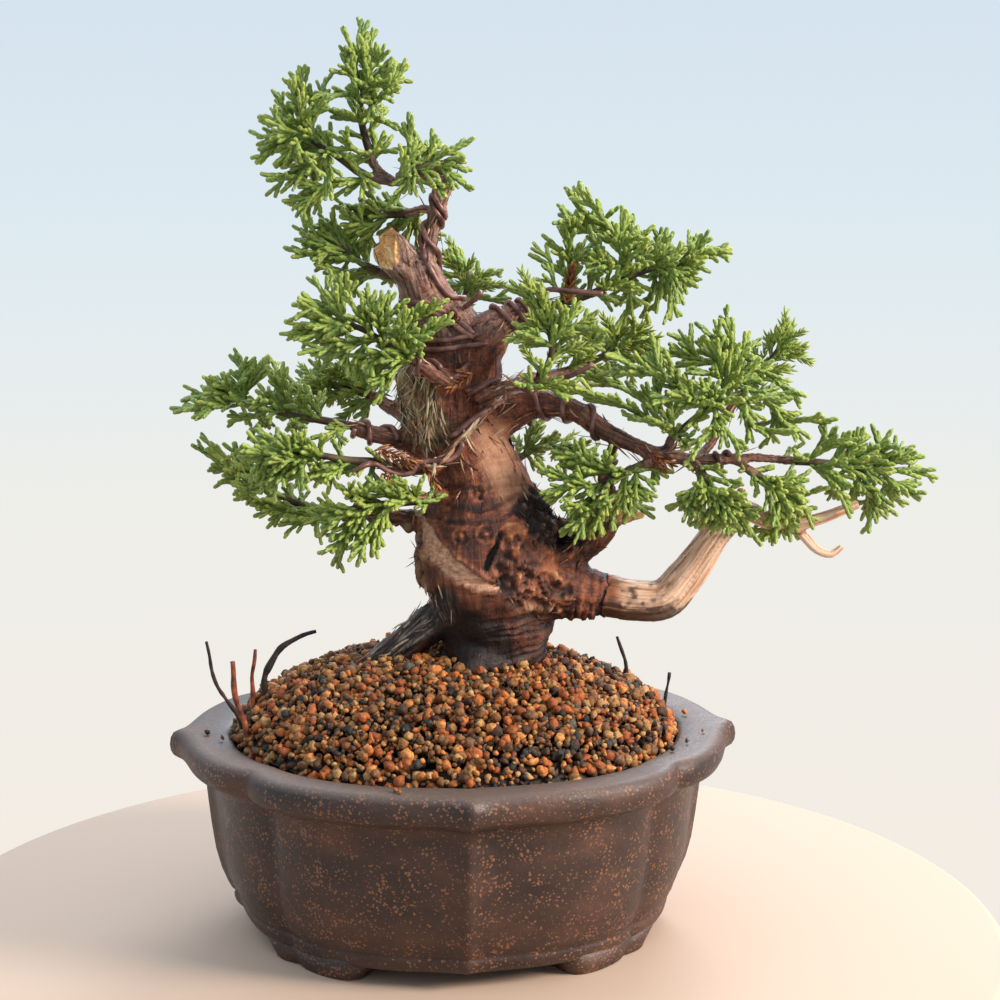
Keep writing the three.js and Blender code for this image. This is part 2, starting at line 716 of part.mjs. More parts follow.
const rightBranchEnd = [
  [53, -12, 135.5, 2.1],
  [60, -11.6, 133.8, 1.9],
  [70, -11, 133, 1.7],
  [82, -10, 133.4, 1.4],
];

function woodLimb(stations, options = {}) {
  // thick limbs get more sides and the uneven outline of old wood
  const thick = Math.max(...stations.map(([, , , radius]) => radius));
  const steps = stations.length - 1;
  if (thick > 12) return limb(stations, 12, steps, { ripple: 0.05, ...options });
  if (thick > 6) return limb(stations, 6, steps, { ripple: 0.04, ...options });
  return limb(stations, thick > 2.5 ? 5 : 4, steps, options);
}

function makeTrunk() {
  const limbs = [trunk, apexBranch, rightBranch, rightBranchEnd, lowRight, collar, ...otherLimbs];
  for (const { twig, core } of sprays) limbs.push(leadTo(twig, core));
  const solids = limbs.map((stations) => woodLimb(stations, { owner: "trunk" }));
  for (const [centre, radius, squash] of knobs) {
    solids.push(knob(centre, radius, squash));
    keepClear("trunk", [point(...centre), point(...centre)], [radius, radius]);
  }
  place("trunk", joined(solids), material(colours.bark, 0.85));
}

// Dead branch at the right, stripped of its bark, that grows on from the collar

const jin = [
  [
    [42.2, -6.3, 94.77, 6.1],
    [50, -7, 93.6, 5.6],
    [57.5, -7.8, 94, 5.6],
    [63.5, -8.5, 100.5, 5.2],
    [69.5, -9, 109, 4.6],
    [75, -9, 115.5, 3.9],
    [80.5, -9, 118.2, 3.1],
    [86, -9, 115.6, 2.3],
    [93, -9, 114.6, 1.9],
    [102, -9, 116.4, 1.7],
    [111.4, -8, 119.8, 1.4],
  ],
  [
    [93, -9, 114.6, 1.6],
    [96.5, -9.3, 110.8, 1.4],
    [100, -9.5, 107.2, 1.3],
    [104, -9.5, 106, 1.2],
    [107, -9.5, 108.2, 0.8],
  ],
  [
    [71, -9, 111.5, 2.6],
    [67.3, -9.3, 116.5, 1.9],
    [67.2, -9.5, 123, 1.5],
  ],
  [
    [77, -9, 116.5, 3],
    [78.4, -9.4, 121.5, 2],
    [78.6, -9.6, 125, 1.1],
  ],
];

function makeJin() {
  const solids = jin.map((stations, i) => {
    return limb(stations, i === 0 ? 8 : 5, stations.length - 1, { owner: "jin_branch" });
  });
  place("jin_branch", joined(solids), material(colours.deadwood, 0.7));
}

// Training wire: a round wire wound on the wood

function coil(stations, reference, stops) {
  // stops are [station, degrees round the limb]; 0 degrees points along the reference
  const path = pathOf(stations);
  const turns = [];
  for (let i = 0; i + 1 < stops.length; i++) {
    const [[fromAt, fromTurn], [toAt, toTurn]] = [stops[i], stops[i + 1]];
    const count = Math.max(1, Math.round((Math.abs(toTurn - fromTurn) / 360) * WIRE.perTurn));
    for (let k = i === 0 ? 0 : 1; k <= count; k++) {
      const u = THREE.MathUtils.lerp(fromAt, toAt, k / count) / (stations.length - 1);
      const turn = THREE.MathUtils.degToRad(THREE.MathUtils.lerp(fromTurn, toTurn, k / count));
      const tangent = path.getTangent(u);
      const side = new THREE.Vector3(...reference);
      side.addScaledVector(tangent, -side.dot(tangent)).normalize();
      const across = new THREE.Vector3().crossVectors(tangent, side);
      const outward = side.multiplyScalar(Math.cos(turn)).addScaledVector(across, Math.sin(turn));
      const reach = radiusAt(stations, u) * 1.05 + WIRE.radius + GAP;
      turns.push({ spot: path.getPoint(u).addScaledVector(outward, reach), outward });
    }
  }
  for (let pass = 0; pass < WIRE.easing; pass++) {
    for (let i = 0; i + 1 < turns.length; i++) {
      const pair = [turns[i], turns[i + 1]];
      if (isClear(pair.map(({ spot }) => spot), WIRE.radius)) continue;
      for (const { spot, outward } of pair) spot.addScaledVector(outward, WIRE.step);
    }
  }
  return turns.map(({ spot }) => spot);
}

function makeWire(name, points) {
  const corners = Array.from({ length: WIRE.sides }, (_, i) => {
    const angle = (2 * Math.PI * i) / WIRE.sides;
    return new THREE.Vector2(WIRE.radius * Math.cos(angle), WIRE.radius * Math.sin(angle));
  });
  const section = new THREE.Shape(corners);
  const path = new THREE.CatmullRomCurve3(points);
  const options = { steps: points.length - 1, extrudePath: path, bevelEnabled: false };
  keepClear(name, points, points.map(() => WIRE.radius));
  place(name, toSolid(new THREE.ExtrudeGeometry(section, options)), material(colours.wire, 0.5));
}

const X = [1, 0, 0];
const Z = [0, 0, 1];
const upperTrunk = [...trunk.slice(12, 16), ...apexBranch.slice(1, 6)];

function point(x, y, z) {
  return new THREE.Vector3(x, y, z);
}

function makeWires() {
  const apexStops = [[1.3, -30], [2.1, -180], [2.5, -360], [3.7, -440], [4.2, -480], [4.5, -540], [5, -720]];
  makeWire("wire_apex_1", coil(upperTrunk, X, [...apexStops, [5.9, -900], [6.05, -960]]));
  const besideStops = [[1.58, -30], [2.38, -180], [3.95, -360], [4.4, -450], [4.85, -540], [5.3, -720]];
  makeWire("wire_apex_2", coil(upperTrunk, X, [...besideStops, [6.18, -900], [6.5, -1000]]));
  makeWire("wire_shoulder_1", [
    ...coil(shoulder, Z, [[2.1, -120], [2.6, 90], [3.4, 360], [4.5, 720]]),
    point(25, -9, 179.5),
    point(30, -15, 179.5),
    point(39, -16, 178.9),
  ]);
  makeWire("wire_shoulder_2", coil(shoulder, Z, [[2.75, -120], [3.2, 90], [3.5, 200]]));
  makeWire("wire_right", coil(rightBranch, Z, [[1.75, -160], [4.9, 920]]));
  const [frontLeftSpray, leftSpray] = [5, 6].map((i) => leadTo(sprays[i].twig, sprays[i].core));
  makeWire("wire_front_left", coil(frontLeftSpray, Z, [[1.5, -60], [3.2, 420]]));
  makeWire("wire_left", coil(leftSpray, Z, [[1.5, -90], [3.4, 810]]));
  makeWire("wire_low_right", coil(lowRight, X, [[3.2, 0], [4.5, 720]]));
  makeWire("wire_right_tip", coil(rightBranchEnd, Z, [[2.05, 0], [2.4, 400]]));
}

// Cut root ends and dead twigs that stand in the soil

const deadRoots = [
  [
    [-58.5, -10, 52, 0.8],
    [-60, -10, 62, 0.7],
    [-66, -12, 73, 0.6],
    [-68, -14, 85, 0.5],
  ],
  [
    [-56, -18, 50, 1.1],
    [-57.5, -19, 61, 1],
    [-60.5, -20, 72, 0.9],
    [-60.9, -20, 81, 0.7],
  ],
  [
    [-56, -4, 58, 0.8],
    [-56.5, -4, 70, 0.7],
    [-55.5, -5, 80.5, 0.5],
  ],
  [
    [-53, 1, 58, 1.2],
    [-53, 1, 71, 1.1],
    [-49, 2, 79, 1],
    [-43.5, 4, 82, 0.9],
    [-38.5, 5, 83, 0.6],
  ],
  [
    [50, 10, 58, 0.8],
    [49.5, 10, 70, 0.7],
    [47, 10, 79, 0.5],
  ],
  [
    [57, -5, 54, 0.7],
    [58.5, -5, 64, 0.6],
    [59.8, -5, 72, 0.5],
  ],
];

// Sprays of green shoots

function forkFor(tip, forks) {
  // the fork that reaches the tip with a short shoot that keeps its heading
  const cost = ({ at, heading }) => {
    const reach = tip.clone().sub(at);
    const length = reach.length();
    return length < SHOOT.shortest ? Infinity : length * (1.5 - 0.5 * (heading.dot(reach) / length));
  };
  return forks.reduce((best, fork) => (cost(fork) < cost(best) ? fork : best));
}

function shootTo(tip, { at, heading }, bend) {
  // stations of a shoot that tapers to a point
  const length = at.distanceTo(tip);
  const middle = at.clone().lerp(tip, 0.55).addScaledVector(heading, 0.15 * length).add(bend);
  return [[...at.toArray(), SHOOT.neck], [...middle.toArray(), SHOOT.middle], [...tip.toArray(), 0]];
}

function makeSpray({ name, core, tips }, seed) {
  const random = seeded(seed);
  const last = core.length - 1;
  const stem = core.map((spot, i) => [...spot, THREE.MathUtils.lerp(1.3, 0.85, i / last)]);
  const path = pathOf(stem);
  const solids = [limb(stem, 4, last, { owner: name })];
  const forks = [];
  const count = Math.round(path.getLength() / SHOOT.forkPitch);
  for (let i = 2; i <= count; i++) {
    forks.push({ at: path.getPointAt(i / count), heading: path.getTangentAt(i / count) });
  }
  const spots = path.getPoints(8);
  const fromStem = (tip) => Math.min(...spots.map((spot) => spot.distanceTo(tip)));
  const goals = tips.map((tip) => point(...tip)).sort((a, b) => fromStem(a) - fromStem(b));
  for (const goal of goals) {
    for (let attempt = 0; attempt < SHOOT.attempts; attempt++) {
      const bend = point(random() - 0.5, random() - 0.5, random() - 0.5).multiplyScalar(0.8 * attempt);
      const tip = goal.clone().addScaledVector(bend, 0.6);
      const stations = shootTo(tip, forkFor(tip, forks), bend);
      const points = stations.map(([x, y, z]) => point(x, y, z));
      if (!isClear(points, SHOOT.middle, (rod) => rod.name !== name)) continue;
      const outer = [points[0].clone().lerp(points[1], 0.5), ...points.slice(1)];
      if (attempt < SHOOT.strict && !isClear(outer, 0, (rod) => rod.name === name)) continue;
      solids.push(limb(stations, 3, 2, { owner: name }));
      const heading = tip.clone().sub(points[0]).normalize();
      for (const share of SHOOT.forkShares) {
        forks.push({ at: pathOf(stations).getPoint(share), heading });
      }
      break;
    }
  }
  place(name, joined(solids), material(colours.foliage, 0.6));
}

// The whole plant

makePot();
for (const side of [-1, 1]) {
  const name = side < 0 ? "drain_net_left" : "drain_net_right";
  place(name, drainPlate(side * DRAIN.offset), material(colours.plasticMesh, 0.6));
}
const plateRooms = [-1, 1].map((side) => {
  const room = new THREE.BoxGeometry(DRAIN.plate + 2 * GAP, DRAIN.plate + 2 * GAP, 4);
  room.translate(side * DRAIN.offset, 0, POT.floor + GAP + DRAIN.thickness + GAP - 2);
  return toSolid(room);
});
const inSoil = [trunk, ...otherLimbs.slice(3)];
const rootHoles = inSoil.map((stations) => woodLimb(stations, { grow: BORED }));
const deadRootHoles = deadRoots.map((stations) => woodLimb(stations, { grow: BORED }));
makeSoil([...plateRooms, ...rootHoles, ...deadRootHoles]);
makeTrunk();
makeJin();
makeWires();
deadRoots.forEach((stations, i) => {
  place(`dead_root_${i + 1}`, woodLimb(stations), material(colours.deadRoot, 0.8));
});
sprays.forEach((spray, i) => makeSpray(spray, 100 + i));

// The origin is under the middle of the whole plant's box
const middle = new THREE.Box3().setFromObject(tree).getCenter(new THREE.Vector3());
tree.position.set(-middle.x, -middle.y, 0);

export default tree;
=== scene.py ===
"""Itoigawa juniper bonsai in an unglazed lobed stoneware pot.

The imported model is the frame. Finer pieces replace its nodes and keep their form. Tables are in
millimetres in the pot's own frame: its axis is x = y = 0, it stands on z = 0, and -Y is its front.
"""

import math
import random
from functools import partial

import bmesh
import bpy
from mathutils import Matrix, Vector, noise
from mathutils.bvhtree import BVHTree
from mathutils.kdtree import KDTree
import numpy as np


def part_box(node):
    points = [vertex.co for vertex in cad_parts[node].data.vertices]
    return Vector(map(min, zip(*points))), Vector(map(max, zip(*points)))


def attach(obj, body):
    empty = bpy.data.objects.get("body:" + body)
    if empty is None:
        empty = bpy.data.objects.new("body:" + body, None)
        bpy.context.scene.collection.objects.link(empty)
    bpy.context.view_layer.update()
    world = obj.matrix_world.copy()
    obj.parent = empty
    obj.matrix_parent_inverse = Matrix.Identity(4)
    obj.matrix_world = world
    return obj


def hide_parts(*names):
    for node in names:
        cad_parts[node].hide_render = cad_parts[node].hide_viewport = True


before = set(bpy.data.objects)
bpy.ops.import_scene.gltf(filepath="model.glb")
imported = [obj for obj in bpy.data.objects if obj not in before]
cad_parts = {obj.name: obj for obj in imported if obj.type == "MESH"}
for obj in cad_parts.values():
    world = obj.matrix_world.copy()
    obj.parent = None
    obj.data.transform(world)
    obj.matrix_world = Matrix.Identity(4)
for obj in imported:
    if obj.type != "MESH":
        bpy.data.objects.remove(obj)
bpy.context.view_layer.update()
pot_low, pot_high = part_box("pot")
POT_AXIS = (pot_low + pot_high) / 2
TO_ROW = Matrix.Translation((POT_AXIS.x, POT_AXIS.y, 0)) @ Matrix.Scale(0.001, 4)

POT = {
    "half_width": 75,  # rim on the X axis without its point
    "half_depth": 71,
    "roundness": 2.15,  # 2 is an oval, more is squarer
    "notch_angle": 0.65,  # radians from the X axis
    "notch_depth": 0.055,
    "notch_width": 0.1,
    "point_height": 0.06,
    "point_width": 0.07,
    "opening": 62,
}
SOIL = {"rim": 54.5, "rise": 24, "sharpness": 0.62}
WIRE_RADIUS = 0.75

# Limbs of the live tree: each row is x, y, z and radius

TRUNK = [
    [9, 1, 38, 10], [9.5, 1, 56, 15], [10.5, 1, 71, 13.8], [10.5, 0.5, 79, 14.8], [10.5, 0.5, 86, 16.8],
    [10, -1, 95, 18], [9.2, -3, 104, 19.6], [8.6, -3, 112, 19], [7.8, -1.5, 119, 16.8],
    [6.5, 0, 127, 13.6], [2.5, 1, 135, 12], [-2, 2, 143, 12.6], [-2.3, 2, 152, 13.2],
    [-1.5, 2, 161, 12.6], [-3.5, 1, 168.5, 10], [-7, 0, 176, 7.4], [-9.5, -1, 183, 6.2],
    [-11, -1, 187.5, 4.6],
]
APEX_BRANCH = [
    [-9.8, -1, 182, 3.6], [-7.2, -1, 189, 2.7], [-5.6, -2, 197, 2.2], [-3.5, -3, 204, 2.1],
    [-1.6, -3.6, 209.2, 2], [-4, -4.4, 211.6, 1.9], [-8, -4.8, 209.6, 1.8],
]
SHOULDER = [
    [3, 0, 158, 8.5], [8, -2.5, 164.5, 6.6], [11.5, -3.5, 169, 5.6], [16.5, -3, 172, 3.6],
    [22, -2.5, 173.8, 2.4], [26, -2.8, 174.8, 2.1],
]
RIGHT_BRANCH = [
    [4, 0, 139, 7.5], [12, -1.5, 143.5, 6], [20, -4, 147.6, 4.4], [27, -6, 148, 3.5], [33, -8, 146.2, 3],
    [41, -10, 141, 2.7], [47, -11, 138, 2.4], [53, -12, 135.5, 2.1],
]
LOW_RIGHT = [
    [24, -3, 106, 9], [34, -5, 110.5, 7], [40, -7, 115, 5], [42, -8, 121, 3], [40.5, -8, 129, 1.9],
    [43.4, -9, 138, 1.4],
]
COLLAR = [
    [18, -3, 99, 14], [30, -5, 96.5, 9.6], [37, -6, 95.2, 7.4], [41.5, -6.3, 94.8, 6.6],
]
LEFT_BRANCH = [
    [-4, 0, 134, 5], [-14, -1, 137.6, 3.1], [-22, -3, 140, 2.5], [-26.5, -3.6, 141.6, 2.2],
]
FRONT_LEFT_BRANCH = [
    [0, -5, 152, 4], [-3, -13.5, 156, 2.6], [-9, -17, 160, 2],
]
OTHER_LIMBS = [
    # cut stub with a loop of wire
    [[31, -6, 109, 4], [34, -7.5, 116, 2.6], [34.6, -8, 121.4, 2.2]],
    # chisel-cut stub beside the apex
    [[-11, -1, 184.5, 5], [-15, -1.2, 190, 3.9], [-18.9, -1.4, 195, 2.6]],
    [[-10.5, -1.2, 183.5, 5.7], [-14, -1.4, 186.2, 5.2], [-17.4, -1.6, 189, 4.7], [-20, -2, 192, 4]],
    # short jin on the low right branch
    [[39, -7, 115.5, 3.4], [46, -8, 117.2, 2.4], [52, -9, 117.6, 1]],
    # buttress root on the left
    [
        [3, -2, 93, 7], [-5, -3, 88, 5.4], [-13.5, -3, 81.4, 4.8], [-21, -2, 74.6, 4.3], [-28, -1, 66, 3.4],
        [-35, 0, 55, 2],
    ],
    # low roots at the right, the front and the back
    [[18, 4, 77, 7], [24, 9, 70, 5.5], [32, 15, 58, 3]],
    [[8, -6, 78, 9], [4, -16, 70, 6], [-2, -26, 58, 3]],
    [[8, 8, 80, 9], [10, 20, 70, 6], [14, 30, 56, 3]],
]
SPRAYS = {
    "spray_apex_left": {
        "twig": [[-8, -4.8, 209.6, 1.8], [-15, -5, 208.2, 1.6], [-21, -5, 209, 1.4]],
        "core": [[-27, -5, 212], [-32, -5, 215.5], [-38, -5, 219]],
        "tips": [
            [-41, -2, 239], [-44, -10, 235], [-48, 6, 230], [-48, -14, 227], [-51, -2, 225],
            [-53, 8, 220], [-53, -6, 213], [-50, -14, 209], [-48, -3, 204], [-45, 7, 202], [-41, -9, 199],
            [-40, 2, 199], [-34, -16, 205], [-34, 5, 236], [-41, -20, 217], [-41, 14, 223],
            [-33, -14, 228], [-37, 10, 208],
        ],
        "inner": [[-32, -8, 209], [-28, -4, 206], [-25, -10, 204], [-31, 2, 205], [-22, -8, 206]],
    },
    "spray_apex_top": {
        "twig": [[-17, -5, 208.5, 1.5], [-20, -3.5, 211, 1.3]],
        "core": [[-22.5, -2, 216], [-24, -2, 221], [-25, -3, 227], [-24, -4, 233]],
        "tips": [
            [-24, -4, 251], [-29, -9, 248], [-22, 1, 247], [-12, -9, 239], [-13, -1, 236], [-21, 5, 240],
            [-30, -12, 237], [-18, -14, 230], [-23, -18, 224], [-29, 9, 231], [-18, 8, 225],
        ],
        "inner": [
            [-35, -8, 230], [-32, -3, 232], [-30, -12, 227], [-32, 2, 225], [-29, -3, 222],
            [-31, -12, 220], [-28, -10, 218], [-31, 0, 216], [-34, -8, 217], [-27, 2, 214],
            [-18, -6, 224], [-15, -10, 223], [-17, -2, 219], [-20, -12, 217], [-15, -6, 216],
            [-21, -3, 221],
        ],
    },
    "spray_apex_right": {
        "fill": 0.55,
        "twig": [[-13, -5, 208.4, 1.5], [-14, -7.5, 209, 1.2]],
        "core": [[-12, -10.5, 211], [-8, -11, 212.5], [-3, -10.5, 213.5]],
        "tips": [
            [-14, -12, 224], [-11, -5, 221], [4, -9, 219], [2, -12, 214], [4, -15, 206], [-3, -17, 207],
            [-12, -15, 205], [-17, -12, 203], [-6, -3, 218],
        ],
    },
    "spray_under_apex": {
        "twig": [[-4.6, -2.4, 200.5, 1.5], [-9, 1, 200.8, 1.3]],
        "core": [[-14, 3.5, 199.5], [-19, 5, 199], [-24, 6, 199]],
        "tips": [
            [-31, 6, 202], [-31, 0, 199], [-25, 9, 203], [-22, -2, 203], [-15, 10, 203], [-22, 8, 190],
            [-9, 9, 190], [-27, 10, 187], [-3, 11, 192],
        ],
    },
    "spray_left_high": {
        "twig": [[-8, 1, 187, 2.4], [-14, 4.5, 184.5, 1.7]],
        "core": [[-21, 6.5, 184], [-25, 6.8, 186], [-29, 7, 189], [-33, 7, 193]],
        "tips": [
            [-33, 7, 200], [-41, 11, 198], [-40, 3, 194], [-46, 9, 190], [-44, 1, 188], [-37, 0, 186],
            [-24, 14, 192], [-27, 13, 176], [-34, 15, 184],
        ],
    },
    "spray_front_left": {
        "twig": FRONT_LEFT_BRANCH,
        "core": [[-14, -18, 163], [-19, -19, 166], [-25, -19, 170], [-32, -18, 172]],
        "tips": [
            [-38, -14, 184], [-41, -21, 180], [-41, -11, 176], [-43, -23, 173], [-45, -14, 168],
            [-41, -24, 165], [-37, -13, 162], [-32, -10, 184], [-28, -21, 183], [-20, -26, 180],
            [-18, -16, 178], [-13, -28, 176], [-10, -21, 177], [-4, -19, 176], [-2, -26, 173],
            [-8, -31, 169], [-29, -24, 158], [-28, -12, 156], [-24, -22, 154], [-20, -30, 155],
            [-21, -18, 150], [-30, -32, 171], [-36, -6, 174],
        ],
    },
    "spray_left": {
        "twig": LEFT_BRANCH,
        "core": [[-31, -4, 143], [-38, -5, 144.5], [-46, -5, 146], [-54, -4, 148], [-61, -3, 149]],
        "tips": [
            [-76, -4, 147], [-72, 3, 152], [-66, -10, 157], [-69, -13, 146], [-65, 8, 153], [-59, 0, 162],
            [-56, -9, 162], [-50, 4, 160], [-46, -12, 159], [-44, 9, 153], [-59, 16, 149],
            [-52, -18, 151], [-39, -12, 152], [-35, 6, 149], [-56, 10, 139], [-45, 13, 139],
        ],
        "inner": [
            [-51, -14, 146], [-46, -10, 142], [-42, -16, 144], [-37, -12, 140], [-33, -8, 142],
            [-30, -16, 139],
        ],
    },
    "spray_left_front": {
        "twig": [[-1, -3, 131, 3], [-10.5, -10.5, 131.5, 2.2], [-18, -13, 132, 1.8]],
        "core": [[-24, -14, 134], [-30, -17, 135], [-38, -20, 137], [-46, -21, 138]],
        "tips": [
            [-58, -20, 136], [-57, -28, 141], [-54, -19, 144], [-47, -30, 135], [-46, -20, 129],
            [-56, -15, 129], [-52, -11, 139], [-42, -28, 144], [-36, -22, 143], [-50, -24, 127],
            [-41, -30, 129], [-32, -25, 131], [-34, -10, 130],
        ],
        "inner": [
            [-46, -8, 131], [-42, -12, 128], [-37, -16, 129], [-32, -10, 126], [-28, -18, 131],
            [-24, -14, 126], [-25, -20, 123],
        ],
    },
    "spray_left_low": {
        "twig": [[-5, 0, 115.5, 3.4], [-15, -1.5, 116.5, 2.4], [-24, -1.5, 117.5, 2]],
        "core": [[-30, -1, 118], [-40, 2, 119], [-48, 4, 122], [-56, 5, 128]],
        "tips": [
            [-71, 7, 136], [-67, -1, 138], [-67, 9, 128], [-65, 0, 126], [-58, 8, 121], [-54, -2, 117],
            [-50, 5, 113], [-61, 13, 136], [-61, -8, 132], [-46, 16, 119], [-40, 12, 122], [-38, -6, 112],
        ],
        "inner": [[-56, 2, 121], [-53, -4, 119], [-50, 4, 114], [-47, -2, 112], [-43, 4, 117]],
    },
    "spray_front_low": {
        "twig": [[1, -4, 124, 2.6], [-8, -15, 124, 1.8]],
        "core": [[-12, -19.5, 124], [-18, -23, 124], [-24, -25, 124], [-30, -26, 123]],
        "tips": [
            [-39, -26, 121], [-37, -21, 115], [-34, -29, 112], [-34, -22, 107], [-26, -32, 111],
            [-25, -22, 108], [-20, -27, 113], [-35, -32, 127], [-28, -36, 130], [-16, -30, 132],
            [-22, -22, 130], [-10, -24, 131],
        ],
    },
    "spray_right_high": {
        "twig": SHOULDER,
        "core": [[30, -3, 175.6], [36, -4, 177.5], [44, -4, 181], [52, -3, 184], [60, -2, 186]],
        "tips": [
            [30, -6, 206], [33, 2, 207], [34, -12, 206], [31, 8, 201], [27, -16, 198], [25, -6, 193],
            [22, 4, 188], [39, -2, 202], [47, 8, 199], [46, -10, 201], [53, 14, 193], [49, -16, 194],
            [58, 6, 193], [59, -6, 194], [66, 4, 193], [70, -6, 193], [76, -2, 190], [71, 6, 188],
            [65, -12, 187], [68, 4, 184], [64, -8, 180], [65, 6, 177], [60, -14, 176], [58, -6, 171],
            [54, 8, 170], [46, -4, 169], [23, -14, 184], [37, -22, 186], [35, 16, 187], [45, 16, 175],
        ],
    },
    "spray_front_centre": {
        "fill": 0.6, "needles": 0.2,
        "twig": [[6, -8, 151, 3], [12, -13.5, 153.5, 2], [17, -16.8, 154.6, 1.6]],
        "core": [[21.5, -18.5, 156], [24, -19, 160], [25, -20, 165], [24, -20, 170]],
        "tips": [
            [17, -19, 185], [14, -16, 180], [19, -24, 183], [24, -20, 180], [28, -16, 174],
            [36, -20, 174], [37, -26, 170], [39, -18, 167], [17, -27, 169], [13, -22, 167],
            [19, -28, 155], [29, -24, 151], [35, -13, 162],
        ],
        "inner": [[18, -16, 165]],
    },
    "spray_right": {
        "twig": [[55, -11.8, 134.8, 1.8], [58, -12.4, 137, 1.6]],
        "core": [[60.5, -13, 141], [65, -13, 145], [70, -12, 149], [74, -10, 154]],
        "tips": [
            [40, -16, 163], [53, -14, 167], [59, -6, 167], [70, -12, 170], [73, -4, 171], [77, 2, 171],
            [79, -8, 168], [82, 4, 165], [84, -2, 160], [46, -22, 146], [51, -26, 151], [61, -28, 157],
            [67, -32, 151], [76, -26, 151], [86, -18, 152], [95, -8, 148], [103, -10, 143],
            [90, -18, 141], [92, -2, 140], [61, -32, 136], [74, -30, 137], [70, 8, 158], [64, 8, 147],
            [50, -4, 150],
        ],
        "inner": [
            [33, -6, 156], [37, 0, 157], [40, -10, 157], [45, -6, 153], [50, -12, 154], [38, -16, 152],
            [45, -16, 149], [53, -8, 147], [53, -18, 152], [35, -12, 150], [29, -14, 154], [81, -12, 143],
            [84, -18, 141], [92, -8, 141], [93, -14, 139], [86, -4, 136],
        ],
    },
    "spray_right_under": {
        "twig": [[62, -11.3, 133.2, 1.7], [64.5, -14.5, 131.6, 1.4]],
        "core": [[66, -18.5, 130.5], [68, -21, 127.5], [70, -22, 123.5]],
        "tips": [
            [56, -18, 121], [60, -24, 118], [64, -16, 116], [71, -27, 119], [75, -17, 113],
            [81, -22, 112], [74, -31, 127], [64, -29, 127], [80, -26, 121],
        ],
        "inner": [[62, -20, 132], [66, -16, 126], [68, -20, 132], [71, -24, 129], [75, -16, 125]],
    },
    "spray_right_mid": {
        "twig": [[76, -10.6, 133.2, 1.5], [79, -12.5, 131, 1.3]],
        "core": [[82, -14.5, 129], [86, -14.5, 126.5], [90, -13, 124]],
        "tips": [
            [94, -16, 129], [97, -6, 123], [94, -19, 122], [98, -13, 116], [95, -8, 110], [87, -20, 116],
            [86, -12, 111], [84, -6, 110], [84, -26, 130], [91, 0, 119],
        ],
        "inner": [[76, -18, 131], [80, -22, 129], [93, -12, 130], [96, -16, 128], [101, -8, 124]],
    },
    "spray_right_tip": {
        "twig": [[82, -10, 133.4, 1.4], [89, -9, 132.6, 1.3]],
        "core": [[94.5, -8, 132], [105, -8, 131], [114, -7, 129], [123, -6, 129]],
        "tips": [
            [100, -8, 142], [104, -14, 140], [111, 0, 138], [113, -10, 140], [119, 2, 139],
            [119, -12, 138], [126, -4, 135], [130, -8, 133], [134, -3, 126], [128, -10, 123],
            [124, 2, 117], [119, -12, 117], [114, -8, 112], [117, 2, 115], [103, -16, 125], [104, 0, 122],
            [119, 10, 132],
        ],
    },
    "spray_right_low": {
        "twig": [[49, -11.6, 137, 1.7], [50.5, -13.5, 135.5, 1.4]],
        "core": [[49.5, -16.5, 132.5], [45, -18, 131], [40, -18.5, 129], [37, -19, 127]],
        "tips": [
            [21, -20, 132], [29, -15, 135], [31, -21, 140], [39, -25, 138], [23, -23, 126],
            [27, -21, 115], [33, -26, 114], [36, -15, 112], [28, -29, 123], [37, -22, 116],
            [40, -28, 123], [47, -20, 119], [52, -15, 119], [51, -23, 125],
        ],
        "inner": [[49, -18, 132], [55, -14, 128]],
    },
    "spray_right_shoot": {
        "fill": 0.6, "needles": 1,
        "twig": [[66, -10.5, 133.2, 1.6], [71, -4, 137, 1.4], [76, 1.5, 143.5, 1.3]],
        "core": [[80.5, 4.5, 149], [84, 5, 153], [87.5, 4, 157.5], [90.5, 3, 162]],
        "tips": [
            [92, 2, 170], [96, -1, 167], [95, 7, 168], [100, 4, 158], [85, 10, 162], [94, 9, 152],
            [92, 12, 142], [79, 11, 157],
        ],
    },
    "spray_back_right": {
        "fill": 0.7, "needles": 0.7,
        "twig": [[4, 8, 145, 4], [14, 17, 149, 2.8], [24, 24, 151.5, 2.2], [34, 28, 153.5, 1.7]],
        "core": [[40, 29, 155.5], [46, 28, 158.5], [52, 26, 161.5]],
        "tips": [
            [44, 24, 169], [51, 30, 169], [52, 20, 170], [57, 28, 167], [60, 22, 164], [35, 26, 163],
            [62, 33, 157], [34, 36, 165], [58, 38, 163], [48, 42, 166], [66, 25, 152], [54, 34, 149],
            [40, 42, 153], [38, 20, 160],
        ],
    },
    "spray_back_high": {
        "fill": 0.4, "needles": 0.3,
        "twig": [[-1, 5, 168, 4], [2, 13, 171.5, 2.4]],
        "core": [[4, 18, 175], [5, 22, 179], [5, 26, 183]],
        "tips": [
            [-2, 16, 188], [6, 17, 186], [15, 26, 182], [14, 17, 179], [16, 23, 174], [-6, 24, 182],
            [4, 35, 185], [12, 34, 178], [-4, 32, 176], [0, 27, 191], [-9, 18, 178],
        ],
    },
    "spray_back": {
        "twig": [[-2, 8, 154, 4], [-3, 18, 157, 2.6], [-4, 24, 159, 2]],
        "core": [[-5, 30, 161.5], [-6, 35, 164], [-7, 40, 166]],
        "tips": [
            [-8, 48, 171], [3, 46, 169], [-18, 44, 168], [-5, 53, 162], [8, 40, 164], [-12, 37, 176],
            [1, 35, 175], [-19, 37, 160], [5, 49, 158], [-11, 48, 157],
        ],
    },
    "spray_back_low": {
        "fill": 0.35, "needles": 0.4,
        "twig": [[8, 6, 123, 4], [14, 15, 126, 2.4]],
        "core": [[18, 20, 128.5], [23, 25, 130.5], [29, 28, 132]],
        "tips": [
            [24, 20, 139], [27, 31, 124], [28, 18, 133], [25, 33, 140], [43, 29, 131], [39, 22, 133],
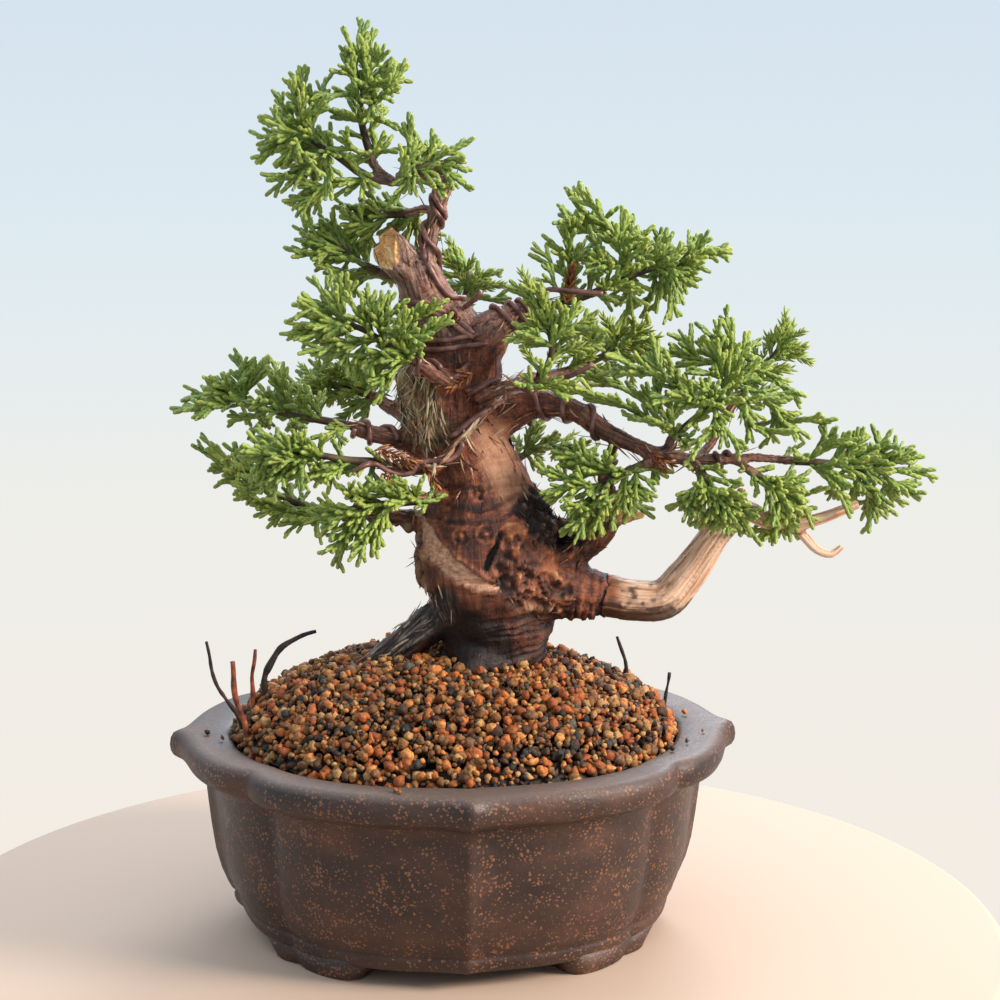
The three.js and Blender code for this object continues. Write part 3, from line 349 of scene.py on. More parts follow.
            [37, 37, 134], [31, 38, 127], [18, 33, 134], [42, 26, 124], [33, 22, 124],
        ],
    },
    "spray_back_left": {
        "needles": 0.6,
        "twig": [[-8, 8, 141, 4], [-14, 15, 143.5, 2.6], [-19, 21, 145.5, 2]],
        "core": [[-23, 25, 147.5], [-28, 28, 148.5], [-34, 31, 149.5]],
        "tips": [
            [-39, 20, 152], [-36, 26, 157], [-34, 18, 156], [-31, 31, 158], [-26, 21, 155],
            [-23, 33, 155], [-30, 35, 141], [-26, 25, 138], [-46, 30, 150], [-42, 38, 154],
            [-36, 42, 149], [-49, 36, 146], [-25, 39, 146], [-44, 25, 143],
        ],
    },
}
RIGHT_BRANCH_END = [
    [53, -12, 135.5, 2.1], [60, -11.6, 133.8, 1.9], [70, -11, 133, 1.7], [82, -10, 133.4, 1.4],
]
DEAD_BRANCH = [
    [
        [40.8, -6.2, 94.9, 6], [50, -7, 93.6, 5.6], [57.5, -7.8, 94, 5.6], [63.5, -8.5, 100.5, 5.2],
        [69.5, -9, 109, 4.6], [75, -9, 115.5, 3.9], [80.5, -9, 118.2, 3.1], [86, -9, 115.6, 2.3],
        [93, -9, 114.6, 1.9], [102, -9, 116.4, 1.7], [111.4, -8, 119.8, 1.4],
    ],
    [
        [93, -9, 114.6, 1.6], [96.5, -9.3, 110.8, 1.4], [100, -9.5, 107.2, 1.3], [104, -9.5, 106, 1.2],
        [107, -9.5, 108.2, 0.8],
    ],
    [[71, -9, 111.5, 2.6], [67.3, -9.3, 116.5, 1.9], [67.2, -9.5, 123, 1.5]],
    [[77, -9, 116.5, 3], [78.4, -9.4, 121.5, 2], [78.6, -9.6, 125, 1.1]],
]
DEAD_ROOTS = [
    [[-58.5, -10, 52, 0.8], [-60, -10, 62, 0.7], [-66, -12, 73, 0.6], [-68, -14, 85, 0.5]],
    [[-56, -18, 50, 1.1], [-57.5, -19, 61, 1], [-60.5, -20, 72, 0.9], [-60.9, -20, 81, 0.7]],
    [[-56, -4, 58, 0.8], [-56.5, -4, 70, 0.7], [-55.5, -5, 80.5, 0.5]],
    [[-53, 1, 58, 1.2], [-53, 1, 71, 1.1], [-49, 2, 79, 1], [-43.5, 4, 82, 0.9], [-38.5, 5, 83, 0.6]],
    [[50, 10, 58, 0.8], [49.5, 10, 70, 0.7], [47, 10, 79, 0.5]],
    [[57, -5, 54, 0.7], [58.5, -5, 64, 0.6], [59.8, -5, 72, 0.5]],
]
# Helpers


def hex_colour(code):
    """the linear colour of an sRGB hex value"""
    values = [int(code[i : i + 2], 16) / 255 for i in (1, 3, 5)]
    return [v / 12.92 if v <= 0.04045 else ((v + 0.055) / 1.055) ** 2.4 for v in values] + [1]


def new_material(name):
    """a material, its shader, and a call that adds a node to it"""
    material = bpy.data.materials.new(name)
    material.use_nodes = True
    tree = material.node_tree
    return material, tree.nodes["Principled BSDF"], partial(add_node, tree)


def set_inputs(node, inputs):
    """inputs by name, or in the node's order: another node's output is linked, any other is set"""
    for name, value in inputs.items() if isinstance(inputs, dict) else enumerate(inputs):
        if isinstance(value, bpy.types.NodeSocket):
            node.id_data.links.new(value, node.inputs[name])
        else:
            node.inputs[name].default_value = value


def add_node(tree, kind, inputs=(), stops=(), output=0, **settings):
    """adds a node to a tree, and gives back the output that is asked for, or else its first"""
    node = tree.nodes.new("ShaderNode" + kind)
    for name, value in settings.items():
        setattr(node, name, value)
    set_inputs(node, inputs)
    for number, (place, code) in enumerate(stops):
        ramp = node.color_ramp.elements
        while len(ramp) < len(stops):
            ramp.new(0.5)
        ramp[number].position = place
        ramp[number].color = hex_colour(code)
    return node.outputs[output]


def speckled(name, scale, roughness, stops, detail=4, metallic=0):
    """a plain finish whose colour is blotched all over"""
    material, shader, add = new_material(name)
    place = add("TexCoord", output="Object")
    blotch = add("TexNoise", {"Vector": place, "Scale": scale, "Detail": detail})
    colour = add("ValToRGB", [blotch], stops)
    set_inputs(shader, {"Base Color": colour, "Roughness": roughness, "Metallic": metallic})
    return material


def finished(name, mesh, material, nodes=()):
    """puts a mesh in its place in the row frame, as a smooth piece that stands for the nodes"""
    mesh.transform(TO_ROW)
    mesh.materials.clear()
    mesh.materials.append(material)
    mesh.shade_smooth()
    piece = bpy.data.objects.new(name, mesh)
    bpy.context.scene.collection.objects.link(piece)
    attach(piece, "root")
    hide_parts(*nodes)
    return piece


def to_mesh(bm, name):
    mesh = bpy.data.meshes.new(name)
    bm.to_mesh(mesh)
    bm.free()
    return mesh


def along(rows, place):
    """the point of the smooth curve through the rows at a row number, and the radius there"""
    i = min(int(place), len(rows) - 2)
    share = place - i
    points = [Vector(row[:3]) for row in rows]
    points = [2 * points[0] - points[1], *points, 2 * points[-1] - points[-2]]
    a, b, c, d = points[i : i + 4]
    steps = [max((q - p).length, 1e-6) ** 0.5 for p, q in ((a, b), (b, c), (c, d))]
    t = steps[1] * share
    first = b.lerp(a, -t / steps[0])
    second = b.lerp(c, t / steps[1])
    third = c.lerp(d, (t - steps[1]) / steps[2])
    near = first.lerp(second, (t + steps[0]) / (steps[0] + steps[1]))
    far = second.lerp(third, t / (steps[1] + steps[2]))
    radius = rows[i][3] + (rows[i + 1][3] - rows[i][3]) * share
    return near.lerp(far, share), radius


def smooth_rows(rows, step):
    """rows close together along the curve, and about a step apart"""
    count = [
        max(1, round((Vector(b[:3]) - Vector(a[:3])).length / step)) for a, b in zip(rows, rows[1:])
    ]
    places = [i + k / n for i, n in enumerate(count) for k in range(n)] + [len(rows) - 1]
    return [(*point, radius) for point, radius in (along(rows, place) for place in places)]


def frames_along(rows):
    """for each row its middle, its heading and two directions across it, carried without a twist"""
    points = [Vector(row[:3]) for row in rows]
    side = None
    frames = []
    for i, point in enumerate(points):
        heading = (points[min(i + 1, len(points) - 1)] - points[max(i - 1, 0)]).normalized()
        if side is None:
            side = heading.orthogonal()
        side = (side - heading * side.dot(heading)).normalized()
        frames.append((point, heading, side.copy(), heading.cross(side)))
    return frames


def add_limb(bm, rows, sides, shape=lambda step, angle: 1):
    """a closed round limb: one ring for each row, drawn out from the ring before"""
    ring = bmesh.ops.create_circle(bm, segments=sides, radius=1, cap_ends=True)["verts"]
    edges = list({edge for vert in ring for edge in vert.link_edges})
    for i, (point, heading, side, across) in enumerate(frames_along(rows)):
        if i:
            drawn = bmesh.ops.extrude_edge_only(bm, edges=edges)["geom"]
            edges = [item for item in drawn if isinstance(item, bmesh.types.BMEdge)]
            edges = [edge for edge in edges if len(edge.link_faces) == 1]
            ring = [item for item in drawn if isinstance(item, bmesh.types.BMVert)]
        for k, vert in enumerate(ring):
            angle = 2 * math.pi * k / sides
            radius = max(rows[i][3], 0.02) * shape(i, angle)
            vert.co = point + (side * math.cos(angle) + across * math.sin(angle)) * radius
    bmesh.ops.contextual_create(bm, geom=edges)


def voxel_skin(bm, voxel, name):
    """one closed skin round everything in the bmesh"""
    rough = bpy.data.objects.new("rough", to_mesh(bm, "rough"))
    bpy.context.scene.collection.objects.link(rough)
    remesh = rough.modifiers.new("skin", "REMESH")
    remesh.mode = "VOXEL"
    remesh.voxel_size = voxel
    graph = bpy.context.evaluated_depsgraph_get()
    skin = bpy.data.meshes.new_from_object(rough.evaluated_get(graph))
    skin.name = name
    bpy.data.objects.remove(rough)
    return skin


def copies(name, groups):
    """one mesh of many copies: each group has the vertex places of its copies, and a copy's faces"""
    verts, faces = [], []
    for places, faces_of in groups:
        for copy in places:
            offset = len(verts)
            verts.extend(copy.tolist())
            faces.extend([[index + offset for index in face] for face in faces_of])
    mesh = bpy.data.meshes.new(name)
    mesh.from_pydata(verts, [], faces)
    return mesh


def template_of(bm):
    """the vertex places and faces of a small bmesh, for copies"""
    bm.verts.index_update()
    places = np.array([vert.co for vert in bm.verts])
    faces = [[vert.index for vert in face.verts] for face in bm.faces]
    bm.free()
    return places, faces


def add_values(mesh, name, values):
    mesh.attributes.new(name, "FLOAT", "POINT").data.foreach_set("value", np.ravel(values))

# Pot: thrown and altered stoneware


def lobed(angle, sharp):
    """radius of the four-lobed plan as a share of the rim's half width"""
    c = abs(math.cos(angle))
    s = abs(math.sin(angle))
    power = POT["roundness"]
    oval = (c**power + (s * POT["half_width"] / POT["half_depth"]) ** power) ** (-1 / power)
    quarter = math.atan2(s, c)
    to_point = min(quarter, math.pi / 2 - quarter)
    to_notch = abs(quarter - POT["notch_angle"])
    point = POT["point_height"] * math.exp(-to_point / POT["point_width"])
    notch = POT["notch_depth"] * math.exp(-to_notch / POT["notch_width"])
    return oval * (1 + sharp * (point - notch))


# Half width, height and how sharp the points and notches are
POT_PROFILE = [
    (0, 4, 0), (30, 4, 0.3), (50, 4.4, 0.5), (55, 4.7, 0.6), (57.4, 5, 0.66), (58.7, 5.6, 0.7),
    (59.5, 6.8, 0.72), (59.9, 8.2, 0.74), (59.9, 9.2, 0.75), (59.6, 9.8, 0.75), (60.4, 10.6, 0.76),
    (61.4, 12.6, 0.78), (63, 16.8, 0.8), (64.3, 22.4, 0.84), (65.3, 30, 0.87), (66, 37, 0.9),
    (66.5, 42.6, 0.9), (67.1, 45.6, 0.9), (68.2, 47, 0.92), (70.5, 47.9, 0.96), (72.8, 48.8, 1),
    (74.3, 49.8, 1), (75, 51.1, 1), (75.2, 52.8, 1), (74.9, 54.8, 1), (74.1, 56.3, 1),
    (72.8, 57, 1), (71, 57.1, 0.9), (67, 56.8, 0.6), (63.6, 56.6, 0.35), (62.3, 56, 0.27),
    (61.6, 54.6, 0.25), (60.4, 46, 0.2), (57.6, 24, 0.14), (56, 17, 0.1), (53.5, 12.5, 0.05),
    (48, 10, 0), (0, 10, 0),
]
POT_STEPS = 288
FOOT = {"middle": 0.73, "half": 0.3, "outer": 57.6, "inner": 44, "height": 6.6}
DRAIN = {"radius": 6, "offset": 22}


def pot_skin():
    bm = bmesh.new()
    chain = [bm.verts.new((radius, 0, height)) for radius, height, _ in POT_PROFILE]
    edges = [bm.edges.new(pair) for pair in zip(chain, chain[1:])]
    bmesh.ops.spin(
        bm, geom=chain + edges, cent=(0, 0, 0), axis=(0, 0, 1), angle=2 * math.pi,
        steps=POT_STEPS, use_merge=True, use_duplicate=False,
    )
    bmesh.ops.remove_doubles(bm, verts=bm.verts, dist=1e-4)
    bmesh.ops.recalc_face_normals(bm, faces=bm.faces)
    sharp_at = {(round(radius, 2), round(height, 2)): sharp for radius, height, sharp in POT_PROFILE}
    for vert in bm.verts:
        radius = math.hypot(vert.co.x, vert.co.y)
        if radius < 1e-3:
            continue
        angle = math.atan2(vert.co.y, vert.co.x)
        sharp = sharp_at[(round(radius, 2), round(vert.co.z, 2))]
        reach = radius * lobed(angle, sharp)
        hand = 0.4 * noise.noise(Vector((math.cos(angle), math.sin(angle), vert.co.z / 40)) * 1.6)
        vert.co.x = (reach + hand) * math.cos(angle)
        vert.co.y = (reach + hand) * math.sin(angle)
        if vert.co.z > 44:
            vert.co.z += 0.5 * noise.noise(Vector((math.cos(angle), math.sin(angle), 4)) * 1.3)
    return bm


def drilled(bm):
    """the pot with its drain holes cut through the floor"""
    bores = bmesh.new()
    for side in (-1, 1):
        bmesh.ops.create_cone(
            bores, cap_ends=True, segments=48, radius1=DRAIN["radius"], radius2=DRAIN["radius"], depth=20,
            matrix=Matrix.Translation((side * DRAIN["offset"], 0, 8)),
        )
    tool = bpy.data.objects.new("bores", to_mesh(bores, "bores"))
    body = bpy.data.objects.new("body", to_mesh(bm, "body"))
    for piece in (tool, body):
        bpy.context.scene.collection.objects.link(piece)
    cut = body.modifiers.new("drain", "BOOLEAN")
    cut.operation = "DIFFERENCE"
    cut.object = tool
    graph = bpy.context.evaluated_depsgraph_get()
    cut_mesh = bpy.data.meshes.new_from_object(body.evaluated_get(graph))
    for piece in (tool, body):
        bpy.data.objects.remove(piece)
    result = bmesh.new()
    result.from_mesh(cut_mesh)
    return result


def add_foot(bm, middle):
    """a bracket foot that wraps one notch: its outline follows the lobes and its ends slope in"""
    outer, inner = [], []
    steps = 28
    for k in range(steps + 1):
        turn = 2 * k / steps - 1
        angle = middle + FOOT["half"] * turn
        reach = FOOT["outer"] * lobed(angle, 0.75) - 3.5 * turn**8
        outer.append(bm.verts.new((reach * math.cos(angle), reach * math.sin(angle), 0)))
        if k % 7 == 0:
            spot = (FOOT["inner"] * math.cos(angle), FOOT["inner"] * math.sin(angle), 0)
            inner.append(bm.verts.new(spot))
    sole = bm.faces.new(outer + inner[::-1])
    drawn = bmesh.ops.extrude_face_region(bm, geom=[sole])["geom"]
    top = [item for item in drawn if isinstance(item, bmesh.types.BMVert)]
    bmesh.ops.translate(bm, verts=top, vec=(0, 0, FOOT["height"]))
    axis = Vector((math.cos(middle), math.sin(middle), 0))
    across = Vector((-axis.y, axis.x, 0))
    for vert in top:
        vert.co += across * vert.co.dot(across) * 0.22 + vert.co.normalized() * 1.6
    touching = {edge for vert in outer + inner for edge in vert.link_edges}
    low = [edge for edge in touching if all(vert.co.z < 0.01 for vert in edge.verts)]
    bmesh.ops.bevel(bm, geom=low, offset=0.9, segments=3, profile=0.5, affect="EDGES", material=-1)
    bmesh.ops.recalc_face_normals(bm, faces=bm.faces)


def stoneware():
    # Iron-bearing stoneware, fired bare: dark brown clouded with rust, a low sheen where the lip is
    # rubbed, tan flecks of grog 0.3 to 0.6 mm across, and grey dust on what faces up
    material, shader, add = new_material("unglazed_stoneware")
    place = add("TexCoord", output="Object")
    banded = add("Mapping", {"Vector": place, "Scale": (1, 1, 1.8)})
    cloud = add("TexNoise", {"Vector": banded, "Scale": 42, "Detail": 6, "Roughness": 0.62})
    stops = [(0.32, "#251713"), (0.48, "#37231b"), (0.6, "#472d21"), (0.76, "#613d28")]
    body = add("ValToRGB", [cloud], stops)
    fleck = add("TexVoronoi", {"Vector": place, "Scale": 1250})
    patch = add("TexNoise", {"Vector": banded, "Scale": 130, "Detail": 3})
    spread = add("MapRange", [patch, 0.36, 0.64, 0.36, 0.78])
    reach = add("Math", [spread, fleck.node.outputs["Color"]], operation="MULTIPLY")
    near = add("Math", [reach, fleck], operation="SUBTRACT")
    grog = add("Math", [near, 7], operation="MULTIPLY", use_clamp=True)
    flecked = add("MixRGB", [grog, body, hex_colour("#7a5036")])
    up = add("SeparateXYZ", [add("NewGeometry", output="Normal")], output="Z")
    ledge = add("MapRange", [up, 0.4, 1, 0, 0.6])
    dusty = add("MixRGB", [ledge, flecked, hex_colour("#73645b")])
    sheen = add("MapRange", [cloud, 0.3, 0.7, 0.42, 0.62])
    grit = add("TexNoise", {"Vector": place, "Scale": 900, "Detail": 3})
    waves = add("TexNoise", {"Vector": banded, "Scale": 90, "Detail": 3})
    bump = add("Bump", {"Height": grit, "Strength": 0.35, "Distance": 0.0004})
    uneven = add("Bump", {"Height": waves, "Strength": 0.25, "Distance": 0.002, "Normal": bump})
    set_inputs(shader, {"Base Color": dusty, "Roughness": sheen, "Normal": uneven})
    return material


pot_bm = drilled(pot_skin())
for angle in (FOOT["middle"], math.pi - FOOT["middle"]):
    add_foot(pot_bm, angle)
    add_foot(pot_bm, -angle)
finished("stoneware_pot", to_mesh(pot_bm, "stoneware_pot"), stoneware(), ["pot"])

# Soil: dry grains of baked clay, pumice and lava, heaped over the rim


def mound_height(x, y):
    angle = math.atan2(y, x)
    edge = (POT["opening"] - 0.5) * lobed(angle, 0.25)
    reach = min(1, math.hypot(x, y) / edge)
    rise = SOIL["rise"] * (1 - reach * reach) ** SOIL["sharpness"]
    ripple = 0.9 * noise.noise(Vector((x, y, 0)) * 0.07) + 1.3 * (x / POT["opening"]) ** 4
    return SOIL["rim"] + rise - 0.03 * x * (1 - reach) + ripple


def soil_bed():
    """the dark mass under the loose grains"""
    bm = bmesh.new()
    bmesh.ops.create_circle(bm, segments=96, radius=1, cap_ends=True)
    rim = list(bm.edges)
    for _ in range(14):
        bmesh.ops.inset_individual(bm, faces=bm.faces[:1], thickness=0.066)
        bm.faces.ensure_lookup_table()
    floor = bmesh.ops.extrude_edge_only(bm, edges=rim)["geom"]
    low = [item for item in floor if isinstance(item, bmesh.types.BMVert)]
    bmesh.ops.contextual_create(bm, geom=[e for e in floor if isinstance(e, bmesh.types.BMEdge)])
    deep = set(low)
    for vert in bm.verts:
        angle = math.atan2(vert.co.y, vert.co.x)
        share = math.hypot(vert.co.x, vert.co.y)
        reach = share * (POT["opening"] - 1.6) * lobed(angle, 0.25)
        x, y = reach * math.cos(angle), reach * math.sin(angle)
        vert.co = (x, y, 20 if vert in deep else mound_height(x, y) - 2.4)
    bmesh.ops.recalc_face_normals(bm, faces=bm.faces)
    return bm


GRAINS = {
    # name: share of the grains, least and largest size in mm, colours
    "grains_orange": (0.27, 1.4, 3.5, ("#853f15", "#b25e20", "#d58e48")),
    "grains_tan": (0.35, 1.2, 3.1, ("#67401d", "#966430", "#c3955a")),
    "grains_brown": (0.25, 1.1, 2.9, ("#331e10", "#56351b", "#7c5632")),
    "grains_dark": (0.13, 1.2, 3.1, ("#17130f", "#2c2620", "#534b3c")),
}


def grain_material(name, colours):
    # Sieved baked clay, pumice or lava: dry, porous and dusty, each grain of its own shade
    material, shader, add = new_material(name)
    tint = add("Attribute", attribute_name="tint", output="Fac")
    shade = add("ValToRGB", [tint], list(zip((0, 0.55, 1), colours)))
    place = add("TexCoord", output="Object")
    pores = add("TexNoise", {"Vector": place, "Scale": 1100, "Detail": 3})
    worn = add("MapRange", [pores, 0.3, 0.75, 0.5, 1.35])
    mottled = add("VectorMath", {0: shade, "Scale": worn}, operation="SCALE")
    bump = add("Bump", {"Height": pores, "Strength": 0.8, "Distance": 0.0004})
    set_inputs(shader, {"Base Color": mottled, "Roughness": 0.72, "Normal": bump})
    return material


# Grains on the lip of the pot, two of each colour
STRAYS = [
    (-18.5, -64.2), (-17.4, -66), (-64.5, -12), (-69, -6), (66, 6), (68, -14), (62, -24), (57, -31),
]
STRAY_HEIGHT = 57.7


def grain_spots(rng, trunk_skin):
    """where grains lie: close together over the mound, in layers"""
    spots = []
    for pitch, sink in ((1.9, -1.6), (2.05, -0.5), (2.9, 0.5)):
        count = int(2 * 66 / pitch)
        for i in range(count):
            for j in range(count):
                x = (i + 0.5 * (j % 2) - count / 2 + rng.uniform(-0.5, 0.5)) * pitch
                y = (j - count / 2 + rng.uniform(-0.5, 0.5)) * pitch * 0.9
                angle = math.atan2(y, x)
                if math.hypot(x, y) > (POT["opening"] - 0.7) * lobed(angle, 0.25):
                    continue
                spot = Vector((x, y, mound_height(x, y) + sink + rng.uniform(-0.8, 0.8)))
                if is_inside(trunk_skin, spot, 0.2):
                    continue
                spots.append(spot)
    return spots


def make_grains(trunk_skin):
    """angular grains, stretched and dented at random: the large ones are cubes with broken edges"""
    rng = random.Random(5)
    block, crumb = bmesh.new(), bmesh.new()
    bmesh.ops.create_cube(block, size=1.6)
    bmesh.ops.bevel(
        block, geom=list(block.edges), offset=0.42, segments=1, profile=0.5, affect="EDGES", material=-1
    )
    bmesh.ops.create_icosphere(crumb, subdivisions=1, radius=1.08)
    shapes = (template_of(block), template_of(crumb))
    chosen = {name: [] for name in GRAINS}
    names, shares = list(GRAINS), [GRAINS[name][0] for name in GRAINS]
    for spot in grain_spots(rng, trunk_skin):
        chosen[rng.choices(names, shares)[0]].append(spot)
    for number, (x, y) in enumerate(STRAYS):
        chosen[names[number % 4]].append(Vector((x, y, STRAY_HEIGHT)))
    for name, spots in chosen.items():
        _, least, largest, colours = GRAINS[name]
        chance = np.random.default_rng(names.index(name) + 20)
        size = least + (largest - least) * chance.random(len(spots)) ** 2.2
        size[-2:] = 1.15 * least  # its strays
        groups, tints = [], []
        for (places, faces), these in zip(shapes, (size > 2.4, size <= 2.4)):
            count = int(these.sum())
            stretch = chance.uniform(0.65, 1.35, (count, 3)) * size[these, None] / 2
            dents = chance.normal(0, 0.15, (count, len(places), 3))
            turns = np.array([np.linalg.qr(chance.normal(size=(3, 3)))[0] for _ in range(count)])
            turns *= np.sign(np.linalg.det(turns))[:, None, None]
            turned = np.einsum("kij,kvj->kvi", turns, (places[None] + dents) * stretch[:, None])
            groups.append((turned + np.array(spots)[these][:, None], faces))
            tints.append(np.repeat(chance.random(count), len(places)))
        mesh = copies(name, groups)
        add_values(mesh, "tint", np.concatenate(tints))
        nodes = ["soil"] if name == names[0] else []
        finished(name, mesh, grain_material(name, colours), nodes)

# Live wood: trunk, roots and branches in one skin

CROSSING_TWIG = [
    [-12, -12.4, 132.4, 1.7], [-5, -12.8, 133.6, 1.6], [-1.5, -13.2, 136.5, 1.6],
    [1.5, -13.2, 140.5, 1.5], [5, -12.2, 144, 1.6], [8.5, -10.5, 147.5, 1.4], [13, -8, 149.8, 1],
]

# Places on the front of the trunk, each as x and z
BARE_STREAK = [
    (-10.7, 119), (-9.3, 114.7), (-6.8, 109.9), (-2.9, 106.4), (1.1, 104.2), (6.2, 101.4), (10.5, 100),
]
CRACK = [(11.2, 115), (10.3, 112.2), (8.5, 109.3), (7.1, 105.8)]
SCARS = [((7.1, 115.1), 2), ((14, 114.1), 2.8), ((24.3, 98.1), 2.2), ((0.6, 114.2), 1.8), ((5.5, 125.3), 1.6)]
FOLDS = [
    [(-5.5, 118.2), (4, 117.8), (11.5, 118.8), (17, 121.5)],
    [(-3, 122), (6, 120.8), (16, 124.5)],
    [(-6, 127), (4, 126.5)],
]
COLLAR_CREASE = [(40.6, 103.5), (42, 100.4), (41.3, 96.6), (40, 92.5), (39.5, 89)]
GREY_ROOT = [(-4, 94), (-12, 87), (-20, 79), (-30, 66)]
OLIVE_PATCH = [(-12.5, 157), (-11.5, 150), (-8, 142)]
HOLLOW = [(20.5, 121.5), (22.5, 117.5), (25.5, 114.5), (30, 112.5)]
UNDERSIDE = [(-5, 94), (4.4, 92), (14.6, 90), (23, 89)]
LOW_LEFT = [(-5, 89), (2, 87), (8, 82)]
BURL = [(14.4, 103), (20, 98), (27, 96)]
FLAKY = [(17, 109), (25, 106), (14, 106)]
PALE_COLUMN = [(9.5, 140), (11, 133), (15, 126)]
CUT_ENDS = [((52, -9, 117.6), 5), ((46, -9, 117.5), 3)]
TORN_STUB = [(33, 110), (39, 115), (41.5, 121)]
CHISEL = {"place": (-17.6, -3.3, 189), "normal": (-0.62, -0.74, 0.25), "reach": 10}


def is_inside(skin, point, room=0.0):
    """whether a point is inside a skin, or nearer to it than the room asked for"""
    spot, normal, _, distance = skin.find_nearest(point)
    return distance < room or (point - spot).dot(normal) < 0


def lead_to(rows, core):
    """ends a branch square to the spray that grows on from it"""
    a, b = Vector(core[0]), Vector(core[1])
    back = (a - b).normalized()
    return [*rows, (*(a + back * 3.3), 1.5), (*(a + back * 0.35), 1.35)]


def wood_limbs():
    limbs = [TRUNK, APEX_BRANCH, RIGHT_BRANCH, RIGHT_BRANCH_END, LOW_RIGHT, COLLAR, CROSSING_TWIG]
    return limbs + OTHER_LIMBS + [lead_to(spray["twig"], spray["core"]) for spray in SPRAYS.values()]


class Grain:
    """which way the wood grows near a point: along the limb, round it, and how thick it is"""

    def __init__(self, limbs, step=1.5):
        self.groups = []
        for group, handicap in ((limbs[:1], 1.5), (limbs[1:], 0)):
            samples = []
            for limb in group:
                rows = smooth_rows(limb, step)
                reach = 0.0
                for (point, heading, side, across), row, last in zip(
                    frames_along(rows), rows, [rows[0], *rows]
                ):
                    reach += (point - Vector(last[:3])).length
                    samples.append((point, heading, side, across, row[3], reach))
            tree = KDTree(len(samples))
            for i, sample in enumerate(samples):
                tree.insert(sample[0], i)
            tree.balance()
            self.groups.append((samples, tree, handicap))

    def at(self, point):
        """the limb whose own surface is nearest; near the trunk it is the trunk"""
        found = []
        for samples, tree, handicap in self.groups:
            for _, index, distance in tree.find_n(point, 8):
                sample = samples[index]
                found.append((abs(distance - sample[4]) - handicap, sample))
        _, (middle, heading, side, across, radius, reach) = min(found, key=lambda pair: pair[0])
        out = point - middle
        angle = math.atan2(out.dot(across), out.dot(side))
        return reach + out.dot(heading), angle, radius, heading

    def over(self, skin):
        """the same for each vertex of a skin, as arrays; the first is a place in the wood's own frame"""
        found = [self.at(vert.co) for vert in skin.vertices]
        reach, angle, radius = (np.array([item[k] for item in found]) for k in range(3))
        round_it = np.maximum(radius, 1)
        wood = np.stack([np.cos(angle) * round_it, np.sin(angle) * round_it, reach], axis=1)
        return wood, radius, np.array([item[3] for item in found])


def wood_skin(limbs, voxel, name):
    bm = bmesh.new()
    for number, limb in enumerate(limbs):
        rows = smooth_rows(limb, 1.6)
        thick = max(row[3] for row in rows)
        sides = 28 if thick > 12 else 18 if thick > 5 else 10
        add_limb(bm, rows, sides, limb_shape(number, thick))
    bmesh.ops.recalc_face_normals(bm, faces=bm.faces)
    return voxel_skin(bm, voxel, name)


def limb_shape(number, thick):
    """old wood isn't round: it has flutes that wind slowly along it"""
    depth = 0.05 if thick > 12 else 0.07 if thick > 5 else 0.05

    def shape(step, angle):
        spot = Vector((math.cos(angle), math.sin(angle), step * 0.045 + number * 7))
        return 1 + depth * noise.noise(spot * 1.3) * 2 + 0.03 * math.sin(3 * angle + step * 0.12)

    return shape


def smoothstep(low, high, value):
    share = np.clip((value - low) / (high - low), 0, 1)
    return share * share * (3 - 2 * share)


def streak(front, line, width, edge=0.6):
    """for each x and z, 1 on a line of places and 0 beyond its width"""
    line = [np.array(place, float) for place in line]
    best = np.full(len(front), 1e9)
    for a, b in zip(line, line[1:]):
        share = np.clip((front - a) @ (b - a) / ((b - a) @ (b - a)), 0, 1)
        best = np.minimum(best, np.linalg.norm(front - a - share[:, None] * (b - a), axis=1))
    return 1 - smoothstep(width * edge, width, best)


def noise_at(places, scale, seed=0.0):
    return np.array([noise.noise(place) for place in (places * np.array(scale) + seed).tolist()])


def skin_arrays(skin):
    count = len(skin.vertices)
    points, normals = np.zeros(count * 3), np.zeros(count * 3)
    skin.vertices.foreach_get("co", points)
    skin.vertices.foreach_get("normal", normals)
    return points.reshape(count, 3), normals.reshape(count, 3)


